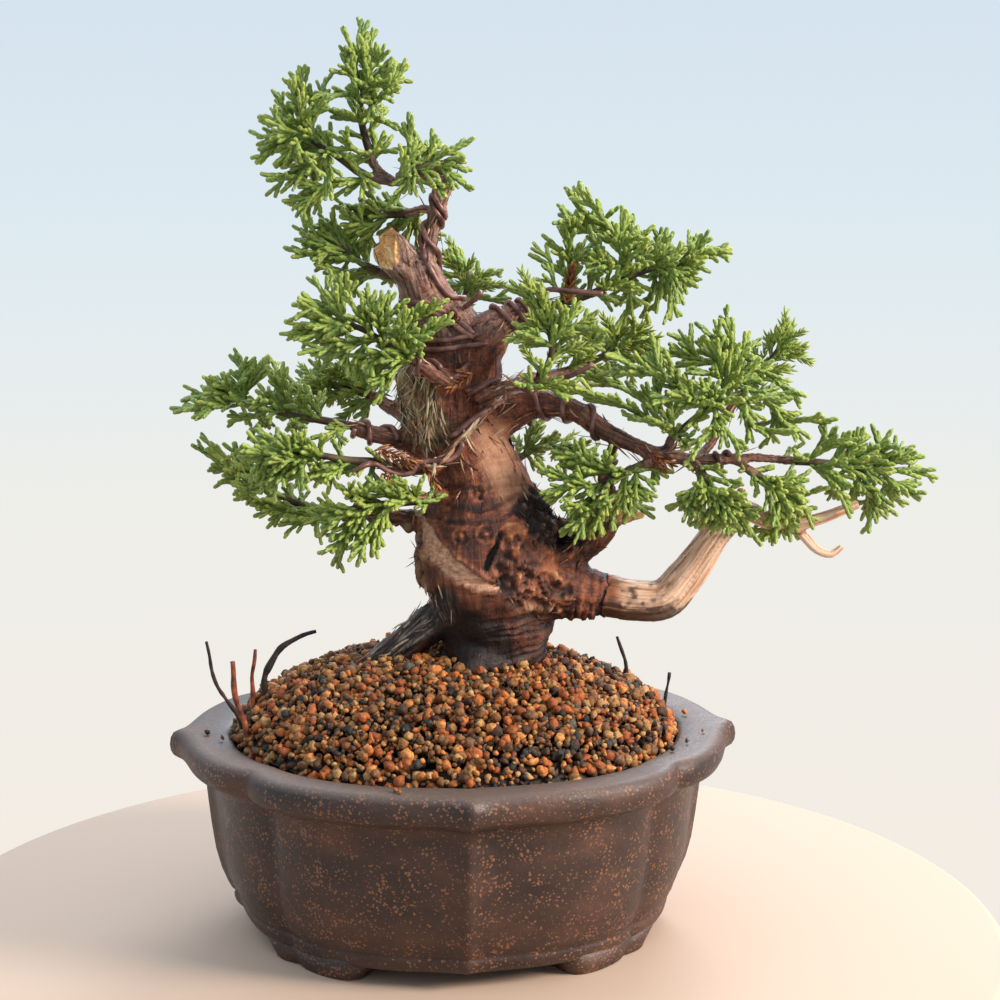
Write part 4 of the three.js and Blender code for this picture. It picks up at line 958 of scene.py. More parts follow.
def carve_bark(skin, grain):
    """moves each vertex by the relief of the bark, marks what kind of surface it is, and where shade is
    painted on it
    """
    points, normals = skin_arrays(skin)
    wood, radius, headings = grain.over(skin)
    x, z = points[:, 0], points[:, 2]
    thick = smoothstep(3, 9, radius)
    wobble = 1 + 0.25 * noise_at(points, 0.3, 5)

    facing = smoothstep(0.3, -0.1, normals[:, 1]) * (thick > 0.3)
    front = points[:, [0, 2]]

    wide = np.interp(x, (-10.7, -6.8, -2.9, 1.1, 6.2, 10.5), (0.8, 2.9, 3.3, 2.4, 1.7, 0.5)) * wobble
    bare = streak(front, BARE_STREAK, wide, 0.8) * facing
    rim = streak(front, BARE_STREAK, wide + 1.5, 0.7) * facing - bare
    crack = streak(front, CRACK, 0.9 * wobble) * facing
    olive = streak(front, OLIVE_PATCH, 7.5 * wobble) * facing
    root = streak(front, GREY_ROOT, 6.5) * smoothstep(2, -4, x)
    hollow = streak(front, HOLLOW, 5.5 * wobble) * smoothstep(0.6, 0.2, normals[:, 1])
    under = streak(front, UNDERSIDE, 8 * wobble, 0.4) * facing
    low_left = streak(front, LOW_LEFT, 12 * wobble, 0.5) * (1 - root)
    knobs = streak(front, BURL, 7.5 * wobble, 0.5) * facing
    flaky = streak(front, FLAKY, 7 * wobble, 0.4) * facing
    flaky = np.maximum(flaky, streak(front, TORN_STUB, 6 * wobble, 0.5))
    column = streak(front, PALE_COLUMN, 7, 0.3) * facing
    crease = streak(front, COLLAR_CREASE, 1.3)
    folds = np.max([streak(front, line, 0.9 * wobble, 0.1) for line in FOLDS], axis=0) * facing
    edge = smoothstep(-4.5, -9, x) * smoothstep(122, 114, z) * smoothstep(93, 99, z) * (1 - bare)
    base = smoothstep(95, 89, z) * smoothstep(4, 10, x)
    collar = smoothstep(29, 33, x) * smoothstep(108, 104, z)

    lump = noise_at(points, 0.11, 3)
    fibre = noise_at(wood, (0.5, 0.5, 0.06))
    furrow = np.clip(1 - 3.2 * np.abs(noise_at(wood, (0.34, 0.34, 0.045), 9)), 0, 1)
    ring = np.clip(1 - 3 * np.abs(noise_at(wood, (0.05, 0.05, 0.5), 2)), 0, 1)
    plates = np.abs(noise_at(points, (0.34, 0.34, 0.12), 6)) * 2
    crags = np.array([noise.turbulence(place, 3, False) for place in (points * 0.33).tolist()])
    cells = np.array([noise.voronoi(place)[0][0] for place in (points * 0.4).tolist()])
    grit = noise_at(points, 0.9, 4)

    wild = np.maximum(knobs, np.maximum(0.7 * flaky, np.maximum(edge, hollow)))
    calm = (1 - wild) * (1 - bare)
    rings = 0.75 * base + 0.35 * collar + 0.3 * smoothstep(110, 115, z) * smoothstep(131, 125, z) * thick
    rings = rings + 0.2 * (1 - thick)
    fine = (0.3 * fibre - 0.35 * furrow * (0.35 + 0.65 * (1 - thick))) * (0.45 + 0.55 * thick) * calm
    knob = smoothstep(176, 181, z) * smoothstep(192, 187, z)
    fine *= 1 - 0.6 * np.maximum(column, knob)
    fine -= rings * ring * calm * (1 - root) + 0.35 * folds * calm
    fine += knobs * (1.3 * (0.45 - cells) + 1.9 * crags - 0.6 + 0.6 * grit)
    fine += 0.7 * flaky * (0.9 * (0.4 - cells) + 1.2 * crags - 0.5 + 0.6 * grit)
    fine += edge * (1.9 * plates - 0.7) + hollow * (2.2 * crags + 0.1 + 0.6 * grit)
    fine += olive * (1.1 * plates - 0.5 * furrow - 0.1) + root * (0.9 * fibre - 0.5 * furrow)
    fine += rim * (0.5 + 0.5 * grit) - 0.5 * bare - 1.8 * crack - 0.6 * crease
    for centre, size in SCARS:
        away = np.linalg.norm(front - np.array(centre), axis=1)
        seen = (1 - smoothstep(size, size * 1.6, away)) * facing
        fine += (0.6 * np.cos(np.minimum(away / size, 1.6) * 4.4) + 0.7 * grit) * seen
        wild = np.maximum(wild, 0.6 * seen)
    move = fine + 0.9 * lump * thick
    moved = points + normals * move[:, None]

    # the stub beside the apex was split off with a chisel, which left a flat splintered face
    place, flat = np.array(CHISEL["place"]), np.array(CHISEL["normal"])
    flat = flat / np.linalg.norm(flat)
    splinters = 1.3 * noise_at(points, (0.8, 0.4, 0.12), 12)
    proud = np.clip((moved - place) @ flat - splinters, 0, None)
    proud *= np.linalg.norm(moved - place, axis=1) < CHISEL["reach"]
    moved -= flat * proud[:, None]
    chiselled = smoothstep(0.02, 0.3, proud)

    # the end of the collar is ragged where it grips the dead branch
    lip = smoothstep(40, 41.2, x) * smoothstep(108, 104, z)
    turn = noise_at(points * (0, 1, 1), 0.42, 8)
    moved[:, 0] += lip * (0.9 + 1.1 * turn)
    skin.vertices.foreach_set("co", moved.ravel())

    cut = chiselled
    for centre, size in CUT_ENDS:
        away = np.linalg.norm(points - np.array(centre), axis=1)
        cut = np.maximum(cut, 1 - smoothstep(size * 0.6, size, away))
    # dark: painted shade in the crotch hollow and the burl's crevices, under the belly on the left, down the
    # left edge away from the lamp, in the collar crease and in the folds; under the belly and in the crack it
    # is partly the bark's own dark as well
    deep = np.clip(1.15 - 0.9 * crags, 0.3, 1)
    dark = np.maximum.reduce([
        0.6 * under, 0.97 * low_left, 0.97 * hollow * deep, crack, 0.6 * crease, 0.62 * edge,
        0.12 * knobs * deep,
    ])
    # painted shade: low on the trunk, under the overhanging belly, the bark is darkened too, partly its own
    # dark brown; the rim of the bare streak is its own dark flaky bark
    dark = np.maximum(dark, 0.8 * smoothstep(90, 78, z) * (1 - root)) + 0.08 * folds
    dark = np.maximum(dark, 0.5 * rim * smoothstep(0.2, 0.6, rim))
    smooth = np.maximum.reduce([bare, cut, column, 0.7 * knob, 0.6 * thick * (z > 95) * (z < 128)])
    pale = np.maximum(0.85 * smoothstep(176, 188, z), 0.6 * smoothstep(162, 172, z))
    pale = np.maximum(pale, 0.35 * (1 - smoothstep(2.2, 4.5, radius)) * smoothstep(100, 110, z))
    marks = {
        "bare": bare * (1 - 0.7 * crack), "cut": cut, "olive": olive, "grey": root, "rough": wild,
        "pale": pale, "light": column, "dark": np.clip(dark, 0, 1) * (1 - bare),
        "height": np.clip(0.5 + 0.42 * fine, 0, 1), "smooth": smooth,
    }
    for name, values in marks.items():
        add_values(skin, name, values)
    skin.attributes.new("wood", "FLOAT_VECTOR", "POINT").data.foreach_set("vector", wood.ravel())
    return {**marks, "radius": radius, "hollow": hollow, "edge": edge, "headings": headings, "knobs": knobs}


def bark():
    # Cleaned and oiled juniper bark: thin, red-brown and fibrous, smooth where it was peeled, flaky in the
    # hollows, olive where old bark is left, with tan wood where a strip died; painted near black as shade in
    # the hollows, on the left side and low down, and partly its own near black under the belly
    material, shader, add = new_material("juniper_bark")
    wood = add("Attribute", attribute_name="wood", output="Vector")
    names = ("bare", "cut", "olive", "grey", "rough", "pale", "light", "dark", "height", "smooth")
    marks = {name: add("Attribute", attribute_name=name, output="Fac") for name in names}
    place = add("TexCoord", output="Object")

    def pattern(vector, scale, detail, turn=(0, 0, 0)):
        drawn = add("Mapping", {"Vector": vector, "Scale": scale, "Rotation": turn})
        return add("TexNoise", {"Vector": drawn, "Scale": 1, "Detail": detail, "Roughness": 0.6})

    def weighed(total, *terms):
        for value, weight in terms:
            total = add("Math", [value, weight, total], operation="MULTIPLY_ADD")
        return total

    fibres = pattern(wood, (1.3, 1.3, 0.13), 6)  # about 0.7 mm wide and 7 mm long
    wrinkles = pattern(wood, (0.2, 0.2, 1.2), 4)
    blotch = pattern(place, (170, 170, 170), 5)
    patches = pattern(place, (45, 45, 60), 3)
    streaks = pattern(place, (110, 1100, 1100), 4, (0, -0.5, 0))  # along the dead strip
    cells = add("Mapping", {"Vector": wood, "Scale": (0.55, 0.55, 0.2)})
    cracks = add("TexVoronoi", {"Vector": cells, "Scale": 1}, feature="DISTANCE_TO_EDGE")
    relief = marks["height"]  # 0.5 where the bark is level
    mixed = weighed(0, (fibres, 0.35), (blotch, 0.35), (wrinkles, 0.3))
    # value, flakes and grained follow the relief: sunk bark is darker, partly its own darker furrows, partly
    # painted shade in them
    value = weighed(-0.45, (mixed, 1), (relief, 0.55), (patches, 0.35))
    flakes = weighed(-0.15, (blotch, 1), (relief, 0.3))
    grained = weighed(-0.2, (fibres, 1), (relief, 0.4))
    stops = [(0.34, "#220d06"), (0.45, "#5b2b18"), (0.54, "#88482a"), (0.68, "#b67a52")]
    colour = add("ValToRGB", [value], stops)
    layers = (
        ("light", value, ((0.3, "#5a3220"), (0.45, "#905c40"), (0.7, "#bd8e6c"))),
        ("rough", flakes, ((0.3, "#301509"), (0.43, "#6b361d"), (0.56, "#9a5b34"), (0.72, "#c99868"))),
        ("pale", grained, ((0.32, "#3a2822"), (0.44, "#77584b"), (0.56, "#a58272"), (0.72, "#ccb1a2"))),
        ("grey", grained, ((0.36, "#1d1613"), (0.48, "#4b3d34"), (0.6, "#85786c"), (0.74, "#b5aa9d"))),
        ("olive", grained, ((0.34, "#1c140c"), (0.46, "#4d3d20"), (0.56, "#847145"), (0.72, "#c2ae83"))),
        ("bare", streaks, ((0.3, "#8a5a42"), (0.5, "#bd8b6c"), (0.7, "#d8b093"))),
        # painted light: the cut wood is pale orange, and is painted brighter still, as if lit, on faces that
        # turn away from the lamp
        ("cut", fibres, ((0.36, "#c07536"), (0.5, "#e8b070"), (0.66, "#f6dcb0"))),
    )
    for mark, drawn, stops in layers:
        colour = add("MixRGB", [marks[mark], colour, add("ValToRGB", [drawn], stops)])
    split = add("MapRange", [cracks, 0, 0.07, 0.5, 1])
    split = add("Mix", {0: marks["smooth"], 2: split, 3: 1.0}, data_type="FLOAT")
    colour = add("VectorMath", {0: colour, "Scale": split}, operation="SCALE")
    # painted shade: the dark mark takes the bark towards near black in the hollow, down the left side, in
    # creases and low on the trunk; under the belly it is partly its own near black
    colour = add("MixRGB", [marks["dark"], colour, hex_colour("#1a0d09")])
    shine = add("MapRange", [mixed, 0.35, 0.65, 0.5, 0.8])
    bump = add("Bump", {"Height": fibres, "Strength": 0.35, "Distance": 0.0008})
    for height, strength, distance in ((wrinkles, 0.2, 0.0008), (blotch, 0.7, 0.001), (split, 0.35, 0.0006)):
        bump = add("Bump", {"Height": height, "Strength": strength, "Distance": distance, "Normal": bump})
    set_inputs(shader, {"Base Color": colour, "Roughness": shine, "Normal": bump})
    return material


live_limbs = wood_limbs()
live_skin = wood_skin(live_limbs, 0.62, "live_wood")
bark_marks = carve_bark(live_skin, Grain(live_limbs))
trunk_tree = BVHTree.FromPolygons(
    [vert.co for vert in live_skin.vertices], [face.vertices for face in live_skin.polygons]
)
bark_points, bark_normals = skin_arrays(live_skin)
finished("live_wood", live_skin, bark(), ["trunk"])
bed_finish = grain_material("soil_bed", ("#2a1a10", "#4a3018", "#6b4626"))
finished("soil_bed", to_mesh(soil_bed(), "soil_bed"), bed_finish)
make_grains(trunk_tree)

# Dead branch, stripped of its bark


def carve_deadwood(skin, grain):
    points, normals = skin_arrays(skin)
    wood, radius, _ = grain.over(skin)
    x = points[:, 0]
    thick = smoothstep(1.5, 4, radius)
    fibre = noise_at(wood, (0.8, 0.8, 0.06))
    gouge = noise_at(wood, (0.25, 0.25, 0.07), 5)
    furrow = np.clip(1 - 3.5 * np.abs(noise_at(wood, (0.4, 0.4, 0.035), 3)), 0, 1)
    low = smoothstep(68, 52, x)
    pits = np.clip(noise_at(points, 0.55, 9) - 0.2, 0, 1) * low
    move = 0.2 * fibre + 0.5 * gouge * thick - 0.25 * furrow * (0.3 + 0.7 * thick) - 0.5 * pits
    skin.vertices.foreach_set("co", (points + normals * move[:, None]).ravel())
    # painted shade: faces that turn down, near the trunk, are darkened as if in shade
    under = smoothstep(-0.05, -0.85, normals[:, 2]) * smoothstep(76, 64, x)
    blot = 0.5 + 0.5 * noise_at(points, 0.3, 7)
    foot = smoothstep(47, 42.5, x)
    add_values(skin, "stain_and_shade", np.clip(0.8 * under + 0.9 * pits + 0.62 * low * blot + 0.1 * furrow, 0, 1))
    add_values(skin, "foot", foot)
    skin.attributes.new("wood", "FLOAT_VECTOR", "POINT").data.foreach_set("vector", wood.ravel())


def bare_wood():
    # Juniper heartwood peeled years ago: cream and pink, silky along the grain, brown where it is damp, and
    # painted dark brown as shade on its underside near the trunk
    material, shader, add = new_material("bare_juniper_wood")
    wood = add("Attribute", attribute_name="wood", output="Vector")
    stain_and_shade = add("Attribute", attribute_name="stain_and_shade", output="Fac")
    foot = add("Attribute", attribute_name="foot", output="Fac")
    # streaks about 0.6 mm wide and 15 mm long
    drawn = add("Mapping", {"Vector": wood, "Scale": (1.3, 1.3, 0.07)})
    streaks = add("TexNoise", {"Vector": drawn, "Scale": 1, "Detail": 5})
    place = add("TexCoord", output="Object")
    blotch = add("TexNoise", {"Vector": place, "Scale": 480, "Detail": 6})
    stops = [(0.3, "#8a5a3f"), (0.42, "#c09070"), (0.55, "#d9b394"), (0.75, "#ead2bb")]
    colour = add("ValToRGB", [streaks], stops)
    rusty = add("MixRGB", [foot, colour, hex_colour("#96552c")])
    # real stains in the pits and low down, with painted shade on the underside, take the wood towards dark
    # brown
    damp_and_shade = add("MapRange", [add("Math", [stain_and_shade, blotch], operation="ADD"), 0.78, 1.2, 0, 0.9])
    stained_and_shaded = add("MixRGB", [damp_and_shade, rusty, hex_colour("#3c2114")])
    bump = add("Bump", {"Height": streaks, "Strength": 0.6, "Distance": 0.0007})
    set_inputs(shader, {"Base Color": stained_and_shaded, "Roughness": 0.55, "Normal": bump})
    return material


dead_skin = wood_skin(DEAD_BRANCH, 0.45, "dead_branch")
carve_deadwood(dead_skin, Grain(DEAD_BRANCH))
finished("dead_branch", dead_skin, bare_wood(), ["jin_branch"])

# Training wire and dead roots


def smooth_tube(name, rows, sides, step):
    bm = bmesh.new()
    add_limb(bm, smooth_rows(rows, step), sides)
    bmesh.ops.recalc_face_normals(bm, faces=bm.faces)
    return to_mesh(bm, name)


def coil(rows, reference, stops):
    """stops are row and degrees round the limb, and 0 degrees points along the reference"""
    spots = []
    for (from_row, from_turn), (to_row, to_turn) in zip(stops, stops[1:]):
        count = max(1, round(abs(to_turn - from_turn) / 20))
        for k in range(0 if not spots else 1, count + 1):
            place = from_row + (to_row - from_row) * k / count
            turn = math.radians(from_turn + (to_turn - from_turn) * k / count)
            middle, radius = along(rows, place)
            ahead, _ = along(rows, min(place + 0.01, len(rows) - 1))
            back, _ = along(rows, max(place - 0.01, 0))
            heading = (ahead - back).normalized()
            side = Vector(reference)
            side = (side - heading * side.dot(heading)).normalized()
            out = side * math.cos(turn) + heading.cross(side) * math.sin(turn)
            spots.append(rest_on_bark(middle + out * (0.9 * radius + 0.5 * WIRE_RADIUS), out))
    return spots


def rest_on_bark(spot, out):
    """the nearest place further out where the wire lies on the bark"""
    for _ in range(30):
        if not is_inside(trunk_tree, spot, WIRE_RADIUS * 0.75):
            break
        spot = spot + out * 0.15
    return spot


X_AXIS, Z_AXIS = (1, 0, 0), (0, 0, 1)
UPPER_TRUNK = TRUNK[12:16] + APEX_BRANCH[1:6]
FRONT_LEFT_TWIG = lead_to(FRONT_LEFT_BRANCH, SPRAYS["spray_front_left"]["core"])
LEFT_TWIG = lead_to(LEFT_BRANCH, SPRAYS["spray_left"]["core"])
WIRES = {
    "wire_apex_1": (
        UPPER_TRUNK, X_AXIS,
        [(1.3, -30), (2.1, -180), (2.5, -360), (3.7, -440), (4.2, -480), (4.5, -540), (5, -720),
         (5.9, -900), (6.05, -960)],
    ),
    "wire_apex_2": (
        UPPER_TRUNK, X_AXIS,
        [(1.58, -30), (2.38, -180), (3.95, -360), (4.4, -450), (4.85, -540), (5.3, -720),
         (6.18, -900), (6.5, -1000)],
    ),
    "wire_shoulder_1": (SHOULDER, Z_AXIS, [(2.1, -120), (2.6, 90), (3.4, 360), (4.5, 720)]),
    "wire_shoulder_2": (SHOULDER, Z_AXIS, [(2.75, -120), (3.2, 90), (3.5, 200)]),
    "wire_right": (RIGHT_BRANCH, Z_AXIS, [(1.75, -160), (4.9, 920)]),
    "wire_front_left": (FRONT_LEFT_TWIG, Z_AXIS, [(1.5, -60), (3.2, 420)]),
    "wire_left": (LEFT_TWIG, Z_AXIS, [(1.3, -90), (3.4, 630)]),
    "wire_low_right": (LOW_RIGHT, X_AXIS, [(3.2, 0), (4.5, 720)]),
    "wire_right_tip": (RIGHT_BRANCH_END, Z_AXIS, [(2.05, 0), (2.4, 400)]),
}
LOOSE_ENDS = {"wire_shoulder_1": [(25, -9, 179.5), (30, -15, 179.5), (39, -16, 178.9)]}
# Annealed aluminium wire with a brown anodised skin: satin, duller where it is scuffed
brown_wire = speckled(
    "brown_anodised_wire", 320, 0.42, [(0.3, "#4b302d"), (0.52, "#7a534c"), (0.72, "#a57b72")],
    metallic=0.3,
)
for name, (limb, reference, stops) in WIRES.items():
    spots = [*coil(limb, reference, stops), *map(Vector, LOOSE_ENDS.get(name, []))]
    rows = [(*spot, WIRE_RADIUS) for spot in spots]
    finished(name + "_round", smooth_tube(name, rows, 10, 0.8), brown_wire, [name])


# Dead feeder roots and twigs: thin, dry and dark, or red where the bark is still on
dark_root = speckled("dry_root", 400, 0.75, [(0.35, "#15100e"), (0.55, "#2b1b15"), (0.75, "#56321f")])
red_root = speckled("red_root", 400, 0.75, [(0.35, "#4a1f10"), (0.55, "#85401f"), (0.75, "#b4663a")])
for number, limb in enumerate(DEAD_ROOTS, 1):
    name = f"dead_root_{number}"
    rows = []
    for *spot, radius in smooth_rows(limb, 1.2):
        spot = Vector(spot)
        knotty = 1 + 0.4 * noise.noise(spot * 0.4)
        bends = [noise.noise(spot * 0.16 + Vector((shift, 0, 0))) for shift in (0, 40, 80)]
        rows.append((*(spot + 0.5 * Vector(bends)), 0.85 * radius * knotty))
    material = red_root if number in (2, 3) else dark_root
    finished(name + "_round", smooth_tube(name, rows, 8, 1), material, [name])

# Sprays of green cords

CORD_SIDES = 4
RING_PITCH = 1.25  # mm between a cord's rings
SCALE_PITCH = 1.0  # mm between pairs of scale leaves
RING_CHOICES = (6, 8, 10, 13, 17)
TIP_ENDS = (0.5, 0.16, 0)  # mm from the tip of the last rings, which round it off
TIP_RADII = (0.97, 0.76, 0.36)
FILL = 6.9  # how many tips a spray gets for each of its outer tips, besides those


def rod_template(sides, rings):
    """an upright rod of unit height with a ring of vertices at each step"""
    bm = bmesh.new()
    bmesh.ops.create_cone(
        bm, cap_ends=True, segments=sides, radius1=1, radius2=1, depth=1,
        matrix=Matrix.Translation((0, 0, 0.5)),
    )
    uprights = [edge for edge in bm.edges if abs(edge.verts[0].co.z - edge.verts[1].co.z) > 0.5]
    if rings > 2:
        bmesh.ops.subdivide_edges(bm, edges=uprights, cuts=rings - 2)
    return template_of(bm)


def bend(places, cords, t, radius):
    """the rod's vertices on each cord's curve; t is the share of the curve that each one is at"""
    start, middle, end = (np.array([cord[key] for cord in cords]) for key in ("start", "middle", "end"))
    t = t[:, :, None]
    spots = (1 - t) ** 2 * start[:, None] + 2 * t * (1 - t) * middle[:, None] + t**2 * end[:, None]
    heading = 2 * (1 - t) * (middle - start)[:, None] + 2 * t * (end - middle)[:, None]
    heading /= np.linalg.norm(heading, axis=2, keepdims=True)
    whole = end - start
    sloping = np.abs(whole[:, 2:]) < 0.9 * np.linalg.norm(whole, axis=1)[:, None]
    spare = np.where(sloping, [[0.0, 0.0, 1.0]], [[1.0, 0.0, 0.0]])
    side = np.cross(heading, spare[:, None])
    side /= np.linalg.norm(side, axis=2, keepdims=True)
    across = np.cross(heading, side)
    return spots + radius[:, :, None] * (side * places[None, :, :1] + across * places[None, :, 1:2])


def cord_group(cords, rings):
    """cords with the same number of rings; pairs of scales stand out by turns to each side"""
    places, faces = ROD[CORD_SIDES, rings]
    ring = np.rint(places[:, 2] * (rings - 1)).astype(int)
    thick, young, old, tint = (
        np.array([cord[key] for cord in cords])[:, None] for key in ("thick", "young", "old", "tint")
    )
    length = np.array([(cord["end"] - cord["start"]).length for cord in cords])[:, None]
    body = rings - len(TIP_ENDS)
    steps = np.minimum(np.arange(rings) / (body - 1 + 0.7), 1)
    left = length * (1 - steps) + (TIP_ENDS[0] + 0.5) * steps
    left = np.hstack([left[:, :body], np.broadcast_to(TIP_ENDS, (len(cords), 3))])
    shape = np.hstack([np.ones(body), TIP_RADII])[None] * np.clip(0.86 + (length - left) / 9, 0, 1)
    fan = np.cos(2 * np.arctan2(places[:, 1], places[:, 0]))
    scales = 1 + 0.12 * fan * np.where(ring % 2, 1, -1) * (ring < body)
    t = 1 - left[:, ring] / length
    spots = bend(places, cords, t, thick * shape[:, ring] * scales)
    tip = np.exp(-((left[:, ring] / 2.2) ** 2))
    ages = old + (young - old) * np.clip(t, 0, 1) + 0.04 * tip
    return spots, faces, {
        "age": ages, "tint": np.broadcast_to(tint, t.shape), "reach": left[:, ring] / SCALE_PITCH,
        "fan": np.broadcast_to(fan, t.shape),
    }


def needle_group(needles):
    """short pointed leaves, which young growth has instead of scales"""
    places, faces = ROD[4, 4]
    share = places[:, 2][None]
    thick, young, tint = (
        np.array([cord[key] for cord in needles])[:, None] for key in ("thick", "young", "tint")
    )
    radius = thick * np.interp(share, (0, 0.33, 0.67, 1), (0.7, 1, 0.75, 0.06))
    t = np.broadcast_to(share, (len(needles), len(places)))
    spots = bend(places, needles, t, radius)
    return spots, faces, {
        "age": np.broadcast_to(young, t.shape), "tint": np.broadcast_to(tint, t.shape),
        "reach": np.zeros(t.shape), "fan": np.zeros(t.shape),
    }


def cord_mesh(name, cords, needles):
    groups = []
    for rings in RING_CHOICES:
        group = [cord for cord in cords if cord["rings"] == rings]
        if group:
            groups.append(cord_group(group, rings))
    if needles:
        groups.append(needle_group(needles))
    mesh = copies(name, [group[:2] for group in groups])
    for value in ("age", "tint", "reach", "fan"):
        add_values(mesh, value, np.concatenate([group[2][value].ravel() for group in groups]))
    return mesh


def new_cord(rng, start, middle, end, thick, old, young):
    length = (end - start).length
    wanted = length / RING_PITCH + len(TIP_ENDS)
    rings = min(RING_CHOICES, key=lambda count: abs(count - wanted))
    return {
        "start": start, "middle": middle, "end": end, "thick": thick, "old": old,
        "young": min(1.0, young), "tint": rng.random(), "rings": rings,
    }


def on_curve(cord, t):
    return (1 - t) ** 2 * cord["start"] + 2 * t * (1 - t) * cord["middle"] + t * t * cord["end"]


def heading_at(cord, t):
    way = (1 - t) * (cord["middle"] - cord["start"]) + t * (cord["end"] - cord["middle"])
    return way.normalized()


def fork_for(tip, forks):
    """the fork that reaches the tip with the shortest cord and the least turn"""
    def cost(fork):
        reach = tip - fork[0]
        if reach.length < 6:
            return 1e9
        return reach.length * (2 - fork[1].dot(reach) / reach.length)

    return min(forks, key=cost)


def fill_goals(rng, spray, points):
    """tips between and behind the outer tips, so that the spray is full"""
    outer = [Vector(tip) for tip in spray["tips"]]
    goals = outer + [Vector(tip) for tip in spray.get("inner", [])]
    full = len(goals) + len(outer) * FILL * spray.get("fill", 1)
    stem = np.array(points)
    for _ in range(4000):
        if len(goals) >= full:
            break
        a, b = rng.sample(outer, 2)
        if (a - b).length > 40:
            continue
        spot = a.lerp(b, rng.uniform(0.1, 0.9))
        near = np.linalg.norm(stem - np.array(spot), axis=1)
        root = points[int(near.argmin())]
        goal = root + (spot - root) * rng.uniform(0.45, 1.0) ** 0.7
        room = np.linalg.norm(np.array(goals) - np.array(goal), axis=1).min()
        if room > 2.4 and np.linalg.norm(stem - np.array(goal), axis=1).min() > 4:
            goals.append(goal)
    return goals


def close_goals(rng, axis):
    """tips of short cords that hug the twig and the stem"""
    goals = []
    for point, heading, side, across in frames_along(axis)[1::2]:
        angle = rng.uniform(0, 2 * math.pi)
        out = side * math.cos(angle) + across * math.sin(angle) + Vector((0, -0.25, 0.45))
        goals.append(point + out.normalized() * rng.uniform(3.5, 5.5) + heading * rng.uniform(5, 8))
    return goals


def side_cords(rng, parent, first, pitch, least, slope, longest, spreads):
    """shorter cords that leave a cord at a narrow angle on alternate sides, as in a hand"""
    length = (parent["end"] - parent["start"]).length
    heading = (parent["end"] - parent["start"]).normalized()
    up = Vector((rng.gauss(0, 0.6), rng.gauss(0, 0.6), 1))
    flat = (up - heading * heading.dot(up)).normalized()
    side = heading.cross(flat).normalized()
    place = first * rng.uniform(0.8, 1.2)
    turn = rng.choice((-1, 1))
    found = []
    while place < length - 1.6:
        t = place / length
        at = on_curve(parent, t)
        way_on = heading_at(parent, t)
        reach = min(longest, least + slope * (length - place)) * rng.uniform(0.75, 1.15)
        out = side * turn * rng.uniform(*spreads) + flat * rng.gauss(0.08, 0.22)
        tip = at + (way_on + out).normalized() * reach
        middle = at.lerp(tip, 0.5) + out * reach * rng.uniform(0.02, 0.12)
        age = parent["old"] + (parent["young"] - parent["old"]) * t * 0.8
        found.append(new_cord(
            rng, at, middle, tip, rng.uniform(0.52, 0.66), age, parent["young"] + rng.uniform(-0.2, 0.15)
        ))
        turn = -turn
        place += pitch * rng.uniform(0.75, 1.25)
    return found


def needles_on(rng, cord, first):
    """whorls of needles along a cord, each turned from the one before"""
    length = (cord["end"] - cord["start"]).length
    found = []
    place, turn = first, rng.uniform(0, 6)
    while place < length + 0.4:
        t = min(1, place / length)
        at, heading = on_curve(cord, t), heading_at(cord, t)
        side = heading.orthogonal().normalized()
        across = heading.cross(side)
        open_out = 0.95 - 0.5 * t
        for third in range(3):
            angle = turn + third * 2.094
            out = (side * math.cos(angle) + across * math.sin(angle)) * open_out
            tip = at + (heading + out).normalized() * rng.uniform(2.4, 3.9) * (1.1 - 0.35 * t)
            young = 0.45 + 0.4 * t + rng.uniform(-0.1, 0.15)
            found.append(new_cord(rng, at, at.lerp(tip, 0.5) + out * 0.3, tip, 0.34, 0.5, young))
        place += 1.25
        turn += 1.05
    return found


def grow_spray(spray, seed):
    rng = random.Random(seed)
    core = smooth_rows([(*point, 1) for point in spray["core"]], 2)
    twig = smooth_rows(lead_to(spray["twig"][-2:], spray["core"]), 2)
    axis = twig + core[1:]
    forks = [(point, heading) for point, heading, _, _ in frames_along(axis)][len(twig) // 2 :]
    points = [Vector(row[:3]) for row in core]
    goals = fill_goals(rng, spray, points) + close_goals(rng, axis)
    goals.sort(key=lambda tip: min((tip - point).length for point in points))
    mains, needles = [], []
    for tip in goals:
        at, heading = fork_for(tip, forks)
        length = (tip - at).length
        middle = at.lerp(tip, 0.45) + heading * 0.12 * length
        middle += Vector([rng.gauss(0, 0.035) * length for _ in range(3)])
        main = new_cord(
            rng, at, middle, tip, rng.uniform(0.6, 0.76), rng.uniform(0.1, 0.32), rng.uniform(0.45, 0.86)
        )
        mains.append(main)
        for t in (0.15, 0.3):
            forks.append((on_curve(main, t), heading_at(main, t)))
    sides, subs = [], []
    for main in mains:
        length = (main["end"] - main["start"]).length
        if rng.random() < spray.get("needles", 0):
            main["thick"] = 0.55
            needles += needles_on(rng, main, 0.35 * length)
            continue
        sides += side_cords(rng, main, max(2.4, 0.28 * length), 3.3, 2.2, 0.8, 10, (0.32, 0.6))
    for cord in sides:
        if (cord["end"] - cord["start"]).length > 6:
            subs += side_cords(rng, cord, 2.4, 3.4, 1.6, 0.7, 6, (0.36, 0.62))
    cords = [cord for cord in mains + sides + subs if not is_inside(trunk_tree, cord["end"], 0.8)]
    return cords, needles


